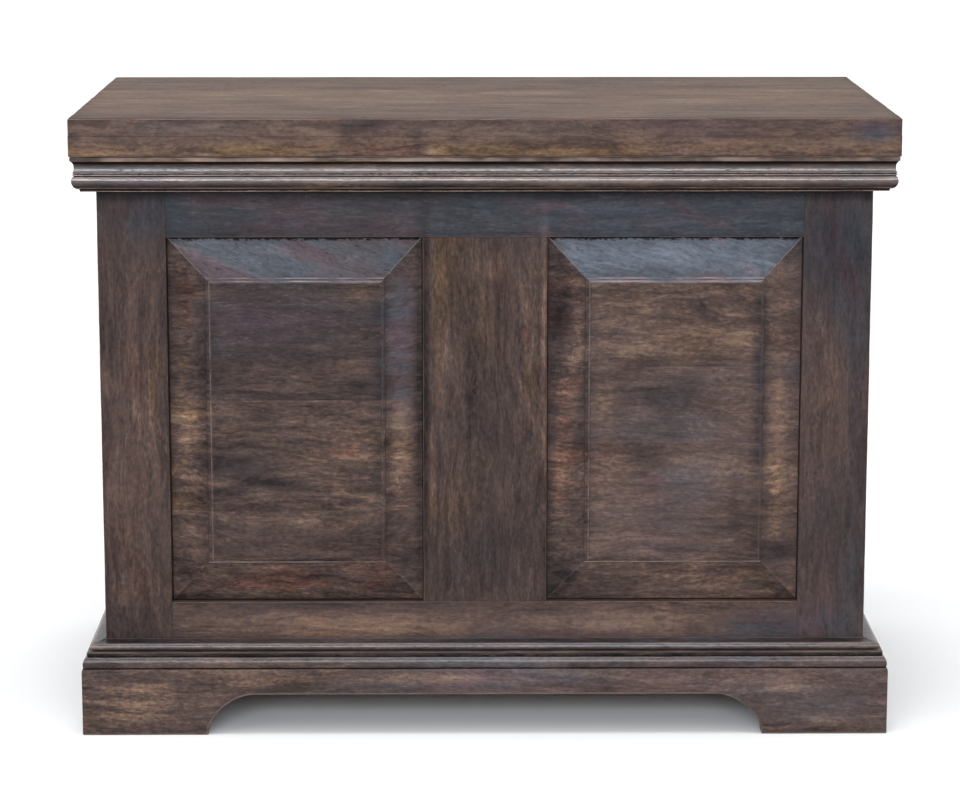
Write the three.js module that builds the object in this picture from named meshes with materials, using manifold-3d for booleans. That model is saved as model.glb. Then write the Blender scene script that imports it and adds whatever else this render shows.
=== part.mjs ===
// A lift-lid blanket chest in stained solid wood, built as it comes apart on the bench.
//
// Four grooved frames of stiles, rails and muntins hold loose panels and make the box. A plinth of
// scrolled boards with a separate cap moulding carries it on corner blocks. The lid is three boards
// on an edging frame, with a cornice moulding that hangs outside the box and is what the hands lift.
// Two butt hinges join lid and box, and a slotted stay on the right stops the lid past upright.
//
// Millimetres, +Z up, the front facing -Y. The origin is on the floor, under the middle of the
// bounding box.

import * as THREE from "three";
import { mergeVertices } from "three/addons/utils/BufferGeometryUtils.js";
import Module from "manifold-3d";

const wasm = await Module();
wasm.setup();

// ---------------------------------------------------------------- driving dimensions

const HEIGHT = 700;
const LID_WIDTH = 914;
const LID_DEPTH = 508;
const OVERHANG = 27; // lid beyond the box, at the front and the sides
const PLINTH_PROUD = 25.5; // plinth beyond the box, at the front and the sides
const GAP = 0.3; // between glued or resting faces
const HALF_GAP = GAP / 2;

const LID_BOARD = 20; // thickness of the top boards
const LID_EDGING = 23; // thickness of the frame under them
const EDGING_WIDTH = 57;
const CORNICE_HEIGHT = 39;
const RIM_GAP = 1; // closed lid above the rim
const CORNICE_CLEARANCE = 1.2; // between the hanging cornice and the box

const FRAME_THICK = 24;
const STILE_WIDTH = 76;
const MUNTIN_WIDTH = 139;
const FRAME_FOOT = 50; // underside of the frames above the floor
const OPENING_LOW = 149; // panel openings, above the floor
const OPENING_HIGH = 565;

const GROOVE_FRONT = 9.5; // groove walls, behind the frame's face
const GROOVE_BACK = 16.5;
const GROOVE_DEPTH = 10;
const TONGUE_LENGTH = 9; // of a panel or a muntin, in its groove
const TENON_LENGTH = 30;
const TENON_INSET = 14; // tenon shoulders above and below
const BEVEL_SIDE = 42; // width of the bevel along the stiles
const BEVEL_END = 45.5; // and along the rails
const BEVEL_TOP = 2.2; // bevel's inner edge, behind the frame's face
const FIELD_PROUD = 0.4; // field before the frame's face
const LEDGE_WIDTH = 4; // between the two small steps from bevel to field
const LEDGE_DEPTH = 0.5;
const STEP_RUN = 0.6;

const PLINTH_HEIGHT = 95.2;
const PLINTH_FOOT = 141.5; // each bracket foot, along the floor
const ARCH_RISE = 47;
const ARCH_SWEEP = 53; // width of the rounded corner of the arch
const ARCH_FULLNESS = 0.47; // of that corner, where 0.55 is a quarter circle
const BACK_ARCH_RISE = 28;
const BLOCK_SIZE = 48;
const CAP_LOW = 95.5;
const CAP_HIGH = 106.8;

const CLEAT = 20;
const FLOOR_THICK = 12;
const CLEAT_LOW = 56;

const BATTEN_WIDTH = 40;
const BATTEN_THICK = 18;
const BATTEN_X = 200;

const HINGE_X = 290;
const HINGE_LENGTH = 64;
const LEAF_THICK = 2;
const LEAF_WIDTH = 20; // on the wood
const KNUCKLE_RADIUS = 4.2;
const KNUCKLE_COUNT = 5;
const PIN_RADIUS = 1.9;
const PIN_HEAD_RADIUS = 2.8;
const PIN_HEAD_EDGE = 1; // height of the head's straight side
const PIN_CROWN_RADIUS = 1.6;
const PIN_CROWN_HEIGHT = 2.2;
const PIN_HEAD_HEIGHT = 2.4;
const SCREW_HOLE_RADIUS = 2;
const SCREW_SPREAD = 0.66; // outer screws from the leaf's middle, as a share of half its length
const OUTER_SCREW_SET = 0.35; // screws from the leaf's inner edge, as a share of its width
const MIDDLE_SCREW_SET = 0.62;

const STAY_REACH = 150; // hinge axis to each pivot of the stay
const STAY_DROP = 48; // stud below the hinge axis
const STAY_RISE = 11.5; // lid pivot above the hinge axis
const STAY_WIDTH = 16;
const STAY_THICK = 3;
const STAY_X = 392; // middle plane of the stay
const STUD_RADIUS = 3;
const SLOT_CLEARANCE = 0.5;
const STAY_CLEARANCE = 0.8; // between the arm and what is beside it
const STAY_OVERRUN = 1; // of the slot beyond the stud, at both limits
const JOIN = 0.5; // how far two joined solids run into each other
const BRACKET_THICK = 2.5;
const BRACKET_HALF = 14; // half its width along the lid
const BRACKET_DROP = 9; // ear below the pivot
const BRACKET_FOOT = 26; // reach of its foot under the boards
const RIVET_RADIUS = 5.5;
const RIVET_PROUD = 2;
const STUD_HEAD_RADIUS = 6.5;
const STUD_HEAD_PROUD = 2.5;
const STUD_COLLAR_RADIUS = 5;
const STUD_FLANGE_RADIUS = 11;
const STUD_FLANGE_THICK = 2;
const LID_OPEN_DEG = 100;

// ---------------------------------------------------------------- derived places

const BODY_WIDTH = LID_WIDTH - 2 * OVERHANG;
const KNUCKLE_PROUD = 2 * KNUCKLE_RADIUS + GAP;
const REAR = (LID_DEPTH - KNUCKLE_PROUD) / 2; // back faces of box and lid
const LID_FRONT = REAR - LID_DEPTH;
const BODY_FRONT = LID_FRONT + OVERHANG;
const BODY_DEPTH = REAR - BODY_FRONT;
const LID_LOW = HEIGHT - LID_BOARD - LID_EDGING;
const RIM = LID_LOW - RIM_GAP;
const BOARD_LOW = HEIGHT - LID_BOARD;
const INNER_X = BODY_WIDTH / 2 - FRAME_THICK;
const INNER_FRONT = BODY_FRONT + FRAME_THICK;
const INNER_REAR = REAR - FRAME_THICK;
const AXIS_Y = REAR + KNUCKLE_RADIUS + GAP;
const AXIS_Z = LID_LOW - RIM_GAP / 2;
const FLOOR_LOW = CLEAT_LOW + CLEAT + GAP;

// ---------------------------------------------------------------- materials

const wood = new THREE.MeshStandardMaterial({ color: 0x4a3a33, roughness: 0.55, metalness: 0 });
const insideWood = new THREE.MeshStandardMaterial({ color: 0x6b4f3a, roughness: 0.7, metalness: 0 });
const steel = new THREE.MeshStandardMaterial({ color: 0x6a5c45, roughness: 0.4, metalness: 0.9 });

// ---------------------------------------------------------------- solids

// A box from its lowest and highest corner.
function block(low, high) {
  const size = high.map((h, i) => h - low[i]);
  const geometry = new THREE.BoxGeometry(...size);
  return geometry.translate(...low.map((l, i) => l + size[i] / 2));
}

// A cylinder along X from x0 to x1.
function rod(radius, x0, x1, y, z, sides = 24) {
  const geometry = new THREE.CylinderGeometry(radius, radius, x1 - x0, sides);
  return geometry.rotateZ(Math.PI / 2).translate((x0 + x1) / 2, y, z);
}

// A flat outline given a thickness along +Z.
function extrude(outline, depth, curveSegments) {
  return new THREE.ExtrudeGeometry(outline, { depth, bevelEnabled: false, curveSegments });
}

function toSolid(geometry) {
  const plain = new THREE.BufferGeometry();
  plain.setAttribute("position", geometry.getAttribute("position"));
  plain.setIndex(geometry.getIndex());
  const merged = mergeVertices(plain, 1e-3);
  const mesh = new wasm.Mesh({
    numProp: 3,
    vertProperties: new Float32Array(merged.attributes.position.array),
    triVerts: new Uint32Array(merged.index.array),
  });
  return new wasm.Manifold(mesh);
}

function toGeometry(solid) {
  const mesh = solid.getMesh();
  const geometry = new THREE.BufferGeometry();
  geometry.setAttribute("position", new THREE.BufferAttribute(mesh.vertProperties, 3));
  geometry.setIndex(new THREE.BufferAttribute(mesh.triVerts, 1));
  return geometry;
}

// One geometry from a body, what is joined to it and what is cut from it.
function carve(body, { add = [], cut = [] }) {
  let solid = toSolid(body);
  for (const geometry of add) solid = solid.add(toSolid(geometry));
  for (const geometry of cut) solid = solid.subtract(toSolid(geometry));
  return toGeometry(solid);
}

// Rectangular rings, each inset from the sides and from the ends at its own depth, closed at both
// ends of the stack.
function ringLoft(width, low, high, rings) {
  const points = [];
  const faces = [];
  for (const [insetX, insetZ, y] of rings) {
    const x = width / 2 - insetX;
    const z0 = low + insetZ;
    const z1 = high - insetZ;
    points.push([-x, y, z0], [x, y, z0], [x, y, z1], [-x, y, z1]);
  }
  for (let ring = 0; ring + 1 < rings.length; ring++) {
    for (let side = 0; side < 4; side++) {
      const a = ring * 4 + side;
      const b = ring * 4 + ((side + 1) % 4);
      faces.push([a, b, b + 4], [a, b + 4, a + 4]);
    }
  }
  const last = (rings.length - 1) * 4;
  faces.push([0, 2, 1], [0, 3, 2], [last, last + 1, last + 2], [last, last + 2, last + 3]);
  const geometry = new THREE.BufferGeometry();
  geometry.setAttribute("position", new THREE.Float32BufferAttribute(points.flat(), 3));
  geometry.setIndex(faces.flat());
  return geometry;
}

// A moulding along X whose profile is (projection towards -Y, height). A mitred end grows with the
// projection, and a square end doesn't. The extrusion runs towards -X, so its faces stay outwards.
function moulding(profile, length, { mitreLow = true, mitreHigh = true } = {}) {
  const geometry = extrude(profile, length, 6);
  const position = geometry.getAttribute("position");
  for (let i = 0; i < position.count; i++) {
    const projection = position.getX(i);
    const height = position.getY(i);
    const atLow = position.getZ(i) > length / 2;
    const grown = (atLow ? mitreLow : mitreHigh) ? projection : 0;
    const along = (atLow ? -1 : 1) * (length / 2 + grown);
    position.setXYZ(i, along, -projection, height);
  }
  return geometry;
}

const chest = new THREE.Group();

// A group along one side of the box, with the side face in its plane y = 0. Inside it +X runs to
// the front on the left and to the back on the right.
function sideRun(side) {
  const group = new THREE.Group();
  group.rotation.z = (side * Math.PI) / 2;
  group.position.set((side * BODY_WIDTH) / 2, (BODY_FRONT + GAP + REAR) / 2, 0);
  chest.add(group);
  return group;
}

// A moulding for that group: mitred at the front, square and flush at the back.
function sideMoulding(side, profile) {
  return moulding(profile, BODY_DEPTH - GAP, { mitreLow: side > 0, mitreHigh: side < 0 });
}

function addMesh(parent, name, geometry, material, position = [0, 0, 0]) {
  const mesh = new THREE.Mesh(geometry, material);
  mesh.name = name;
  mesh.position.set(...position);
  parent.add(mesh);
  return mesh;
}

// ---------------------------------------------------------------- frames and panels

const TONGUE_FRONT = GROOVE_FRONT + GAP;
const TONGUE_BACK = GROOVE_BACK - GAP;
const FLAT_RINGS = [
  [0, 0, TONGUE_BACK],
  [0, 0, TONGUE_FRONT],
];

// A flat tongue, a long bevel, a narrow ledge, and a small step up to the field.
function raisedRings() {
  const ring = (inwards, y) => [TONGUE_LENGTH + BEVEL_SIDE + inwards, TONGUE_LENGTH + BEVEL_END + inwards, y];
  return [
    ...FLAT_RINGS,
    [TONGUE_LENGTH, TONGUE_LENGTH, TONGUE_FRONT],
    ring(0, BEVEL_TOP),
    ring(STEP_RUN, LEDGE_DEPTH),
    ring(STEP_RUN + LEDGE_WIDTH, LEDGE_DEPTH),
    ring(2 * STEP_RUN + LEDGE_WIDTH, -FIELD_PROUD),
  ];
}

// One frame with its outer face in the plane y = 0, facing -Y, and its middle at x = 0.
// names gives each piece's name. hingeMortises are the middles of hinge leaves let into the top rail.
function panelFrame({ width, stile, muntin, raised, names, hingeMortises = [] }) {
  const frame = new THREE.Group();
  const half = width / 2;
  const shoulder = half - stile;
  const rails = [
    { name: names.topRail, low: OPENING_HIGH, high: RIM, groove: OPENING_HIGH, into: 1 },
    { name: names.bottomRail, low: FRAME_FOOT, high: OPENING_LOW, groove: OPENING_LOW, into: -1 },
  ];

  // Stiles: a mortise for each rail's tenon and a stopped groove between the mortises.
  for (const [side, name] of [[-1, names.lowStile], [1, names.highStile]]) {
    const inner = side * shoulder;
    const outer = side * half;
    const pocket = (depth, z0, z1) => {
      const ends = [inner - side, inner + side * depth].sort((a, b) => a - b);
      return block([ends[0], GROOVE_FRONT, z0], [ends[1], GROOVE_BACK, z1]);
    };
    const sides = [inner, outer].sort((a, b) => a - b);
    const body = block([sides[0], 0, FRAME_FOOT], [sides[1], FRAME_THICK, RIM]);
    const inset = TENON_INSET - GAP;
    const cut = rails.map((r) => pocket(TENON_LENGTH + 1, r.low + inset, r.high - inset));
    cut.push(pocket(GROOVE_DEPTH, OPENING_LOW - TENON_INSET - 1, OPENING_HIGH + TENON_INSET + 1));
    addMesh(frame, name, carve(body, { cut }), wood);
  }

  // Rails: a tenon at each end and a groove along the inner edge.
  for (const rail of rails) {
    const end = shoulder - HALF_GAP;
    const body = block([-end, 0, rail.low], [end, FRAME_THICK, rail.high]);
    const tenon = block(
      [-end - TENON_LENGTH, TONGUE_FRONT, rail.low + TENON_INSET],
      [end + TENON_LENGTH, TONGUE_BACK, rail.high - TENON_INSET],
    );
    const edges = [rail.groove - rail.into, rail.groove + rail.into * GROOVE_DEPTH].sort((a, b) => a - b);
    const cut = [block([-end - 1, GROOVE_FRONT, edges[0]], [end + 1, GROOVE_BACK, edges[1]])];
    if (rail.into > 0) {
      for (const x of hingeMortises) {
        const reach = HINGE_LENGTH / 2 + GAP;
        const floor = AXIS_Z - GAP - LEAF_THICK - GAP;
        cut.push(block([x - reach, -1, floor], [x + reach, LEAF_WIDTH + GAP, RIM + 1]));
      }
    }
    addMesh(frame, rail.name, carve(body, { add: [tenon], cut }), wood);
  }

  // Muntin: stub tenons in the rails' grooves, and a groove down each edge.
  const openings = [];
  if (muntin) {
    const edge = muntin / 2;
    const body = block([-edge, 0, OPENING_LOW + HALF_GAP], [edge, FRAME_THICK, OPENING_HIGH - HALF_GAP]);
    const stub = block(
      [-edge + GROOVE_DEPTH, TONGUE_FRONT, OPENING_LOW - TONGUE_LENGTH],
      [edge - GROOVE_DEPTH, TONGUE_BACK, OPENING_HIGH + TONGUE_LENGTH],
    );
    const groove = (side) => {
      const ends = [side * (edge + 1), side * (edge - GROOVE_DEPTH)].sort((a, b) => a - b);
      return block([ends[0], GROOVE_FRONT, OPENING_LOW - 1], [ends[1], GROOVE_BACK, OPENING_HIGH + 1]);
    };
    const cut = [groove(-1), groove(1)];
    addMesh(frame, names.muntin, carve(body, { add: [stub], cut }), wood);
    openings.push([-shoulder, -edge], [edge, shoulder]);
  } else {
    openings.push([-shoulder, shoulder]);
  }

  // Panels: loose in their grooves.
  openings.forEach(([x0, x1], i) => {
    const rings = raised ? raisedRings() : FLAT_RINGS;
    const low = OPENING_LOW - TONGUE_LENGTH;
    const high = OPENING_HIGH + TONGUE_LENGTH;
    const geometry = ringLoft(x1 - x0 + 2 * TONGUE_LENGTH, low, high, rings);
    addMesh(frame, names.panels[i], geometry, wood, [(x0 + x1) / 2, 0, 0]);
  });
  return frame;
}

function buildFrames() {
  const front = panelFrame({
    width: BODY_WIDTH,
    stile: STILE_WIDTH,
    muntin: MUNTIN_WIDTH,
    raised: true,
    names: {
      lowStile: "front_left_stile",
      highStile: "front_right_stile",
      topRail: "front_top_rail",
      bottomRail: "front_bottom_rail",
      muntin: "front_muntin",
      panels: ["front_left_panel", "front_right_panel"],
    },
  });
  front.position.y = BODY_FRONT;

  const back = panelFrame({
    width: BODY_WIDTH,
    stile: STILE_WIDTH,
    muntin: MUNTIN_WIDTH,
    raised: false,
    hingeMortises: [-HINGE_X, HINGE_X],
    names: {
      lowStile: "back_right_stile",
      highStile: "back_left_stile",
      topRail: "back_top_rail",
      bottomRail: "back_bottom_rail",
      muntin: "back_muntin",
      panels: ["back_right_panel", "back_left_panel"],
    },
  });
  back.rotation.z = Math.PI;
  back.position.y = REAR;
  chest.add(front, back);

  // The side frames fit between the front and back frames, and their stiles are narrower by the
  // thickness that those frames show at the corner.
  for (const [side, word] of [[-1, "left"], [1, "right"]]) {
    const stileNames = [`${word}_side_rear_stile`, `${word}_side_front_stile`];
    if (side > 0) stileNames.reverse();
    const frame = panelFrame({
      width: INNER_REAR - INNER_FRONT - 2 * GAP,
      stile: STILE_WIDTH - FRAME_THICK,
      raised: true,
      names: {
        lowStile: stileNames[0],
        highStile: stileNames[1],
        topRail: `${word}_side_top_rail`,
        bottomRail: `${word}_side_bottom_rail`,
        panels: [`${word}_side_panel`],
      },
    });
    frame.rotation.z = (side * Math.PI) / 2;
    frame.position.set((side * BODY_WIDTH) / 2, (INNER_FRONT + INNER_REAR) / 2, 0);
    chest.add(frame);
  }
}

// ---------------------------------------------------------------- floor

function buildFloor() {
  const reach = INNER_X - GAP;
  const cleat = block([-reach, 0, 0], [reach, CLEAT, CLEAT]);
  addMesh(chest, "floor_cleat_front", cleat, insideWood, [0, INNER_FRONT + GAP, CLEAT_LOW]);
  addMesh(chest, "floor_cleat_rear", cleat, insideWood, [0, INNER_REAR - GAP - CLEAT, CLEAT_LOW]);
  const floor = block([-reach, INNER_FRONT + GAP, 0], [reach, INNER_REAR - GAP, FLOOR_THICK]);
  addMesh(chest, "floor_panel", floor, insideWood, [0, 0, FLOOR_LOW]);
}

// ---------------------------------------------------------------- plinth and cap moulding

// From the floor: plain face, quirk, ovolo, and a fillet set back from it.
function plinthProfile() {
  const shape = new THREE.Shape();
  shape.moveTo(GAP, 0);
  shape.lineTo(PLINTH_PROUD, 0);
  shape.lineTo(PLINTH_PROUD, 72);
  shape.quadraticCurveTo(PLINTH_PROUD, 76, 24.4, 76.6);
  shape.lineTo(23.6, 77.2);
  shape.lineTo(23.6, 78);
  shape.bezierCurveTo(25, 80.4, 24.4, 87.6, 20.6, 89.6);
  shape.lineTo(19.4, 89.8);
  shape.lineTo(19.4, 90.8);
  shape.lineTo(19.8, PLINTH_HEIGHT);
  shape.lineTo(GAP, PLINTH_HEIGHT);
  return shape;
}

// A bead over a deep recess, under a top that falls away from the box.
function capProfile() {
  const shape = new THREE.Shape();
  shape.moveTo(GAP, CAP_LOW);
  shape.lineTo(11.5, CAP_LOW);
  shape.lineTo(11.5, 97.3);
  shape.lineTo(16, 97.4);
  shape.bezierCurveTo(17.4, 97.8, 17.2, 103, 14, 104.2);
  shape.quadraticCurveTo(6, 105, 2, CAP_HIGH);
  shape.lineTo(GAP, CAP_HIGH);
  return shape;
}

// The cutter for an arch with rounded upper corners, along X and through Y, under z = rise.
function archCutter(length, foot, rise, sweep) {
  const half = length / 2 - foot;
  const run = half - sweep;
  const bend = ARCH_FULLNESS * rise;
  const lead = ARCH_FULLNESS * sweep;
  const shape = new THREE.Shape();
  shape.moveTo(-half, -1);
  shape.lineTo(half, -1);
  shape.lineTo(half, 0);
  shape.bezierCurveTo(half, bend, run + lead, rise, run, rise);
  shape.lineTo(-run, rise);
  shape.bezierCurveTo(-run - lead, rise, -half, bend, -half, 0);
  return extrude(shape, 80, 12).rotateX(Math.PI / 2).translate(0, 20, 0);
}

function buildBase() {
  const front = moulding(plinthProfile(), BODY_WIDTH);
  const arch = archCutter(BODY_WIDTH + 2 * PLINTH_PROUD, PLINTH_FOOT, ARCH_RISE, ARCH_SWEEP);
  addMesh(chest, "plinth_front", carve(front, { cut: [arch] }), wood, [0, BODY_FRONT, 0]);
  addMesh(chest, "base_cap_front", moulding(capProfile(), BODY_WIDTH), wood, [0, BODY_FRONT, 0]);

  for (const [side, word] of [[-1, "left"], [1, "right"]]) {
    const run = sideRun(side);
    const sideArch = archCutter(BODY_DEPTH + PLINTH_PROUD, PLINTH_FOOT, ARCH_RISE, ARCH_SWEEP);
    sideArch.translate((-side * PLINTH_PROUD) / 2, 0, 0);
    const board = sideMoulding(side, plinthProfile());
    addMesh(run, `plinth_${word}`, carve(board, { cut: [sideArch] }), wood);
    addMesh(run, `base_cap_${word}`, sideMoulding(side, capProfile()), wood);
  }

  const backReach = BODY_WIDTH / 2 - GAP;
  const back = block([-backReach, INNER_REAR, 0], [backReach, REAR, FRAME_FOOT - GAP]);
  const backArch = archCutter(2 * backReach, PLINTH_FOOT - PLINTH_PROUD, BACK_ARCH_RISE, BACK_ARCH_RISE);
  backArch.translate(0, INNER_REAR + 40, 0);
  addMesh(chest, "plinth_back", carve(back, { cut: [backArch] }), wood);

  // Corner blocks stand inside the plinth and carry the stiles.
  const reachX = BODY_WIDTH / 2 - GAP;
  const places = {
    corner_block_front_left: [-reachX, BODY_FRONT + GAP],
    corner_block_front_right: [reachX - BLOCK_SIZE, BODY_FRONT + GAP],
    corner_block_rear_left: [-reachX, INNER_REAR - GAP - BLOCK_SIZE],
    corner_block_rear_right: [reachX - BLOCK_SIZE, INNER_REAR - GAP - BLOCK_SIZE],
  };
  for (const [name, [x, y]] of Object.entries(places)) {
    const geometry = block([0, 0, 0], [BLOCK_SIZE, BLOCK_SIZE, FRAME_FOOT - GAP]);
    addMesh(chest, name, geometry, insideWood, [x, y, 0]);
  }
}

// ---------------------------------------------------------------- lid

// From the bottom: fillet, torus, a thin fillet between two quirks, cove and top fillet.
function corniceProfile() {
  const top = LID_LOW - GAP;
  const low = LID_LOW - CORNICE_HEIGHT;
  const shape = new THREE.Shape();
  shape.moveTo(CORNICE_CLEARANCE, low);
  shape.lineTo(15.6, low);
  shape.lineTo(16, low + 2.8);
  shape.lineTo(17, low + 3);
  shape.bezierCurveTo(23.4, low + 3.6, 26.2, low + 13.2, 22.8, low + 17);
  shape.lineTo(21.6, low + 17.2);
  shape.lineTo(21.6, low + 18.3);
  shape.lineTo(23, low + 18.5);
  shape.lineTo(23, low + 19.6);
  shape.lineTo(21.8, low + 19.8);
  shape.lineTo(21.8, low + 20.6);
  shape.lineTo(23, low + 20.9);
  shape.bezierCurveTo(19.4, low + 22.8, 18.4, low + 31.6, 24.4, low + 34.2);
  shape.lineTo(25.4, low + 34.6);
  shape.lineTo(25.4, top);
  shape.lineTo(CORNICE_CLEARANCE, top);
  return shape;
}

function buildLid() {
  // Three boards side by side, front to back.
  const boardDepth = LID_DEPTH / 3;
  ["lid_board_front", "lid_board_middle", "lid_board_rear"].forEach((name, i) => {
    const y0 = i === 0 ? 0 : HALF_GAP;
    const y1 = boardDepth - (i === 2 ? 0 : HALF_GAP);
    const geometry = block([-LID_WIDTH / 2, y0, GAP], [LID_WIDTH / 2, y1, LID_BOARD]);
    addMesh(chest, name, geometry, wood, [0, LID_FRONT + i * boardDepth, BOARD_LOW]);
  });

  // The edging frame under the boards: front and rear strips run through, side strips fit between.
  const through = block([-LID_WIDTH / 2, 0, 0], [LID_WIDTH / 2, EDGING_WIDTH, LID_EDGING]);
  addMesh(chest, "lid_edging_front", through, wood, [0, LID_FRONT, LID_LOW]);
  const rearEdging = REAR - EDGING_WIDTH;
  const mortises = [-HINGE_X, HINGE_X].map((x) => {
    const reach = HINGE_LENGTH / 2 + GAP;
    const roof = AXIS_Z + GAP + LEAF_THICK + GAP - LID_LOW;
    return block([x - reach, EDGING_WIDTH - LEAF_WIDTH - GAP, -1], [x + reach, EDGING_WIDTH + 1, roof]);
  });
  addMesh(chest, "lid_edging_rear", carve(through, { cut: mortises }), wood, [0, rearEdging, LID_LOW]);
  const sideLength = rearEdging - LID_FRONT - EDGING_WIDTH - 2 * GAP;
  for (const [side, word] of [[-1, "left"], [1, "right"]]) {
    const geometry = block([-EDGING_WIDTH / 2, 0, 0], [EDGING_WIDTH / 2, sideLength, LID_EDGING]);
    const x = side * (LID_WIDTH / 2 - EDGING_WIDTH / 2);
    addMesh(chest, `lid_edging_${word}`, geometry, wood, [x, LID_FRONT + EDGING_WIDTH + GAP, LID_LOW]);
  }

  // Battens keep the boards flat.
  const battenLength = rearEdging - LID_FRONT - EDGING_WIDTH - 2 * GAP;
  for (const [side, word] of [[-1, "left"], [1, "right"]]) {
    const geometry = block([-BATTEN_WIDTH / 2, 0, 0], [BATTEN_WIDTH / 2, battenLength, BATTEN_THICK]);
    const place = [side * BATTEN_X, LID_FRONT + EDGING_WIDTH + GAP, BOARD_LOW - BATTEN_THICK];
    addMesh(chest, `lid_batten_${word}`, geometry, insideWood, place);
  }

  // The cornice hangs under the edging, outside the box.
  addMesh(chest, "cornice_front", moulding(corniceProfile(), BODY_WIDTH), wood, [0, BODY_FRONT, 0]);
  for (const [side, word] of [[-1, "left"], [1, "right"]]) {
    addMesh(sideRun(side), `cornice_${word}`, sideMoulding(side, corniceProfile()), wood);
  }
}

// ---------------------------------------------------------------- hinges

// One leaf about the hinge axis, which runs along X through the origin. up is 1 for the lid's leaf
// and -1 for the box's. Every second knuckle is this leaf's, starting at first.
function hingeLeaf(up, first) {
  const step = HINGE_LENGTH / KNUCKLE_COUNT;
  const half = HINGE_LENGTH / 2;
  const inner = -KNUCKLE_RADIUS - GAP - LEAF_WIDTH;
  const zs = [up * GAP, up * (GAP + LEAF_THICK)].sort((a, b) => a - b);
  const plate = block([-half, inner, zs[0]], [half, -KNUCKLE_RADIUS / 2, zs[1]]);
  const add = [];
  const cut = [];
  for (let i = 0; i < KNUCKLE_COUNT; i++) {
    const x0 = -half + i * step;
    if (i % 2 === first) add.push(rod(KNUCKLE_RADIUS, x0 + HALF_GAP, x0 + step - HALF_GAP, 0, 0));
    // Room for the other leaf's knuckle.
    else cut.push(rod(KNUCKLE_RADIUS + GAP, x0 - HALF_GAP, x0 + step + HALF_GAP, 0, 0));
  }
  cut.push(rod(PIN_RADIUS + GAP, -half - 1, half + 1, 0, 0));
  for (const x of [-half * SCREW_SPREAD, 0, half * SCREW_SPREAD]) {
    const y = inner + LEAF_WIDTH * (x ? OUTER_SCREW_SET : MIDDLE_SCREW_SET);
    const hole = new THREE.CylinderGeometry(SCREW_HOLE_RADIUS, SCREW_HOLE_RADIUS, 2 * LEAF_THICK, 12);
    cut.push(hole.rotateX(Math.PI / 2).translate(x, y, up * (GAP + LEAF_THICK / 2)));
  }
  return carve(plate, { add, cut });
}

// A plain pin with a button head at each end.
function hingePin() {
  const half = HINGE_LENGTH / 2 + GAP;
  const head = [
    [PIN_HEAD_RADIUS, half],
    [PIN_HEAD_RADIUS, half + PIN_HEAD_EDGE],
    [PIN_CROWN_RADIUS, half + PIN_CROWN_HEIGHT],
    [0, half + PIN_HEAD_HEIGHT],
  ];
  const points = [
    ...head.map(([x, y]) => [x, -y]).reverse(),
    [PIN_RADIUS, -half],
    [PIN_RADIUS, half],
    ...head,
  ].map(([x, y]) => new THREE.Vector2(x, y));
  return new THREE.LatheGeometry(points, 20).rotateZ(-Math.PI / 2);
}

function buildHinges() {
  for (const [side, word] of [[-1, "left"], [1, "right"]]) {
    const place = [side * HINGE_X, AXIS_Y, AXIS_Z];
    addMesh(chest, `hinge_${word}_box_leaf`, hingeLeaf(-1, 0), steel, place);
    addMesh(chest, `hinge_${word}_lid_leaf`, hingeLeaf(1, 1), steel, place);
    addMesh(chest, `hinge_${word}_pin`, hingePin(), steel, place);
  }
}

// ---------------------------------------------------------------- lid stay

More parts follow.
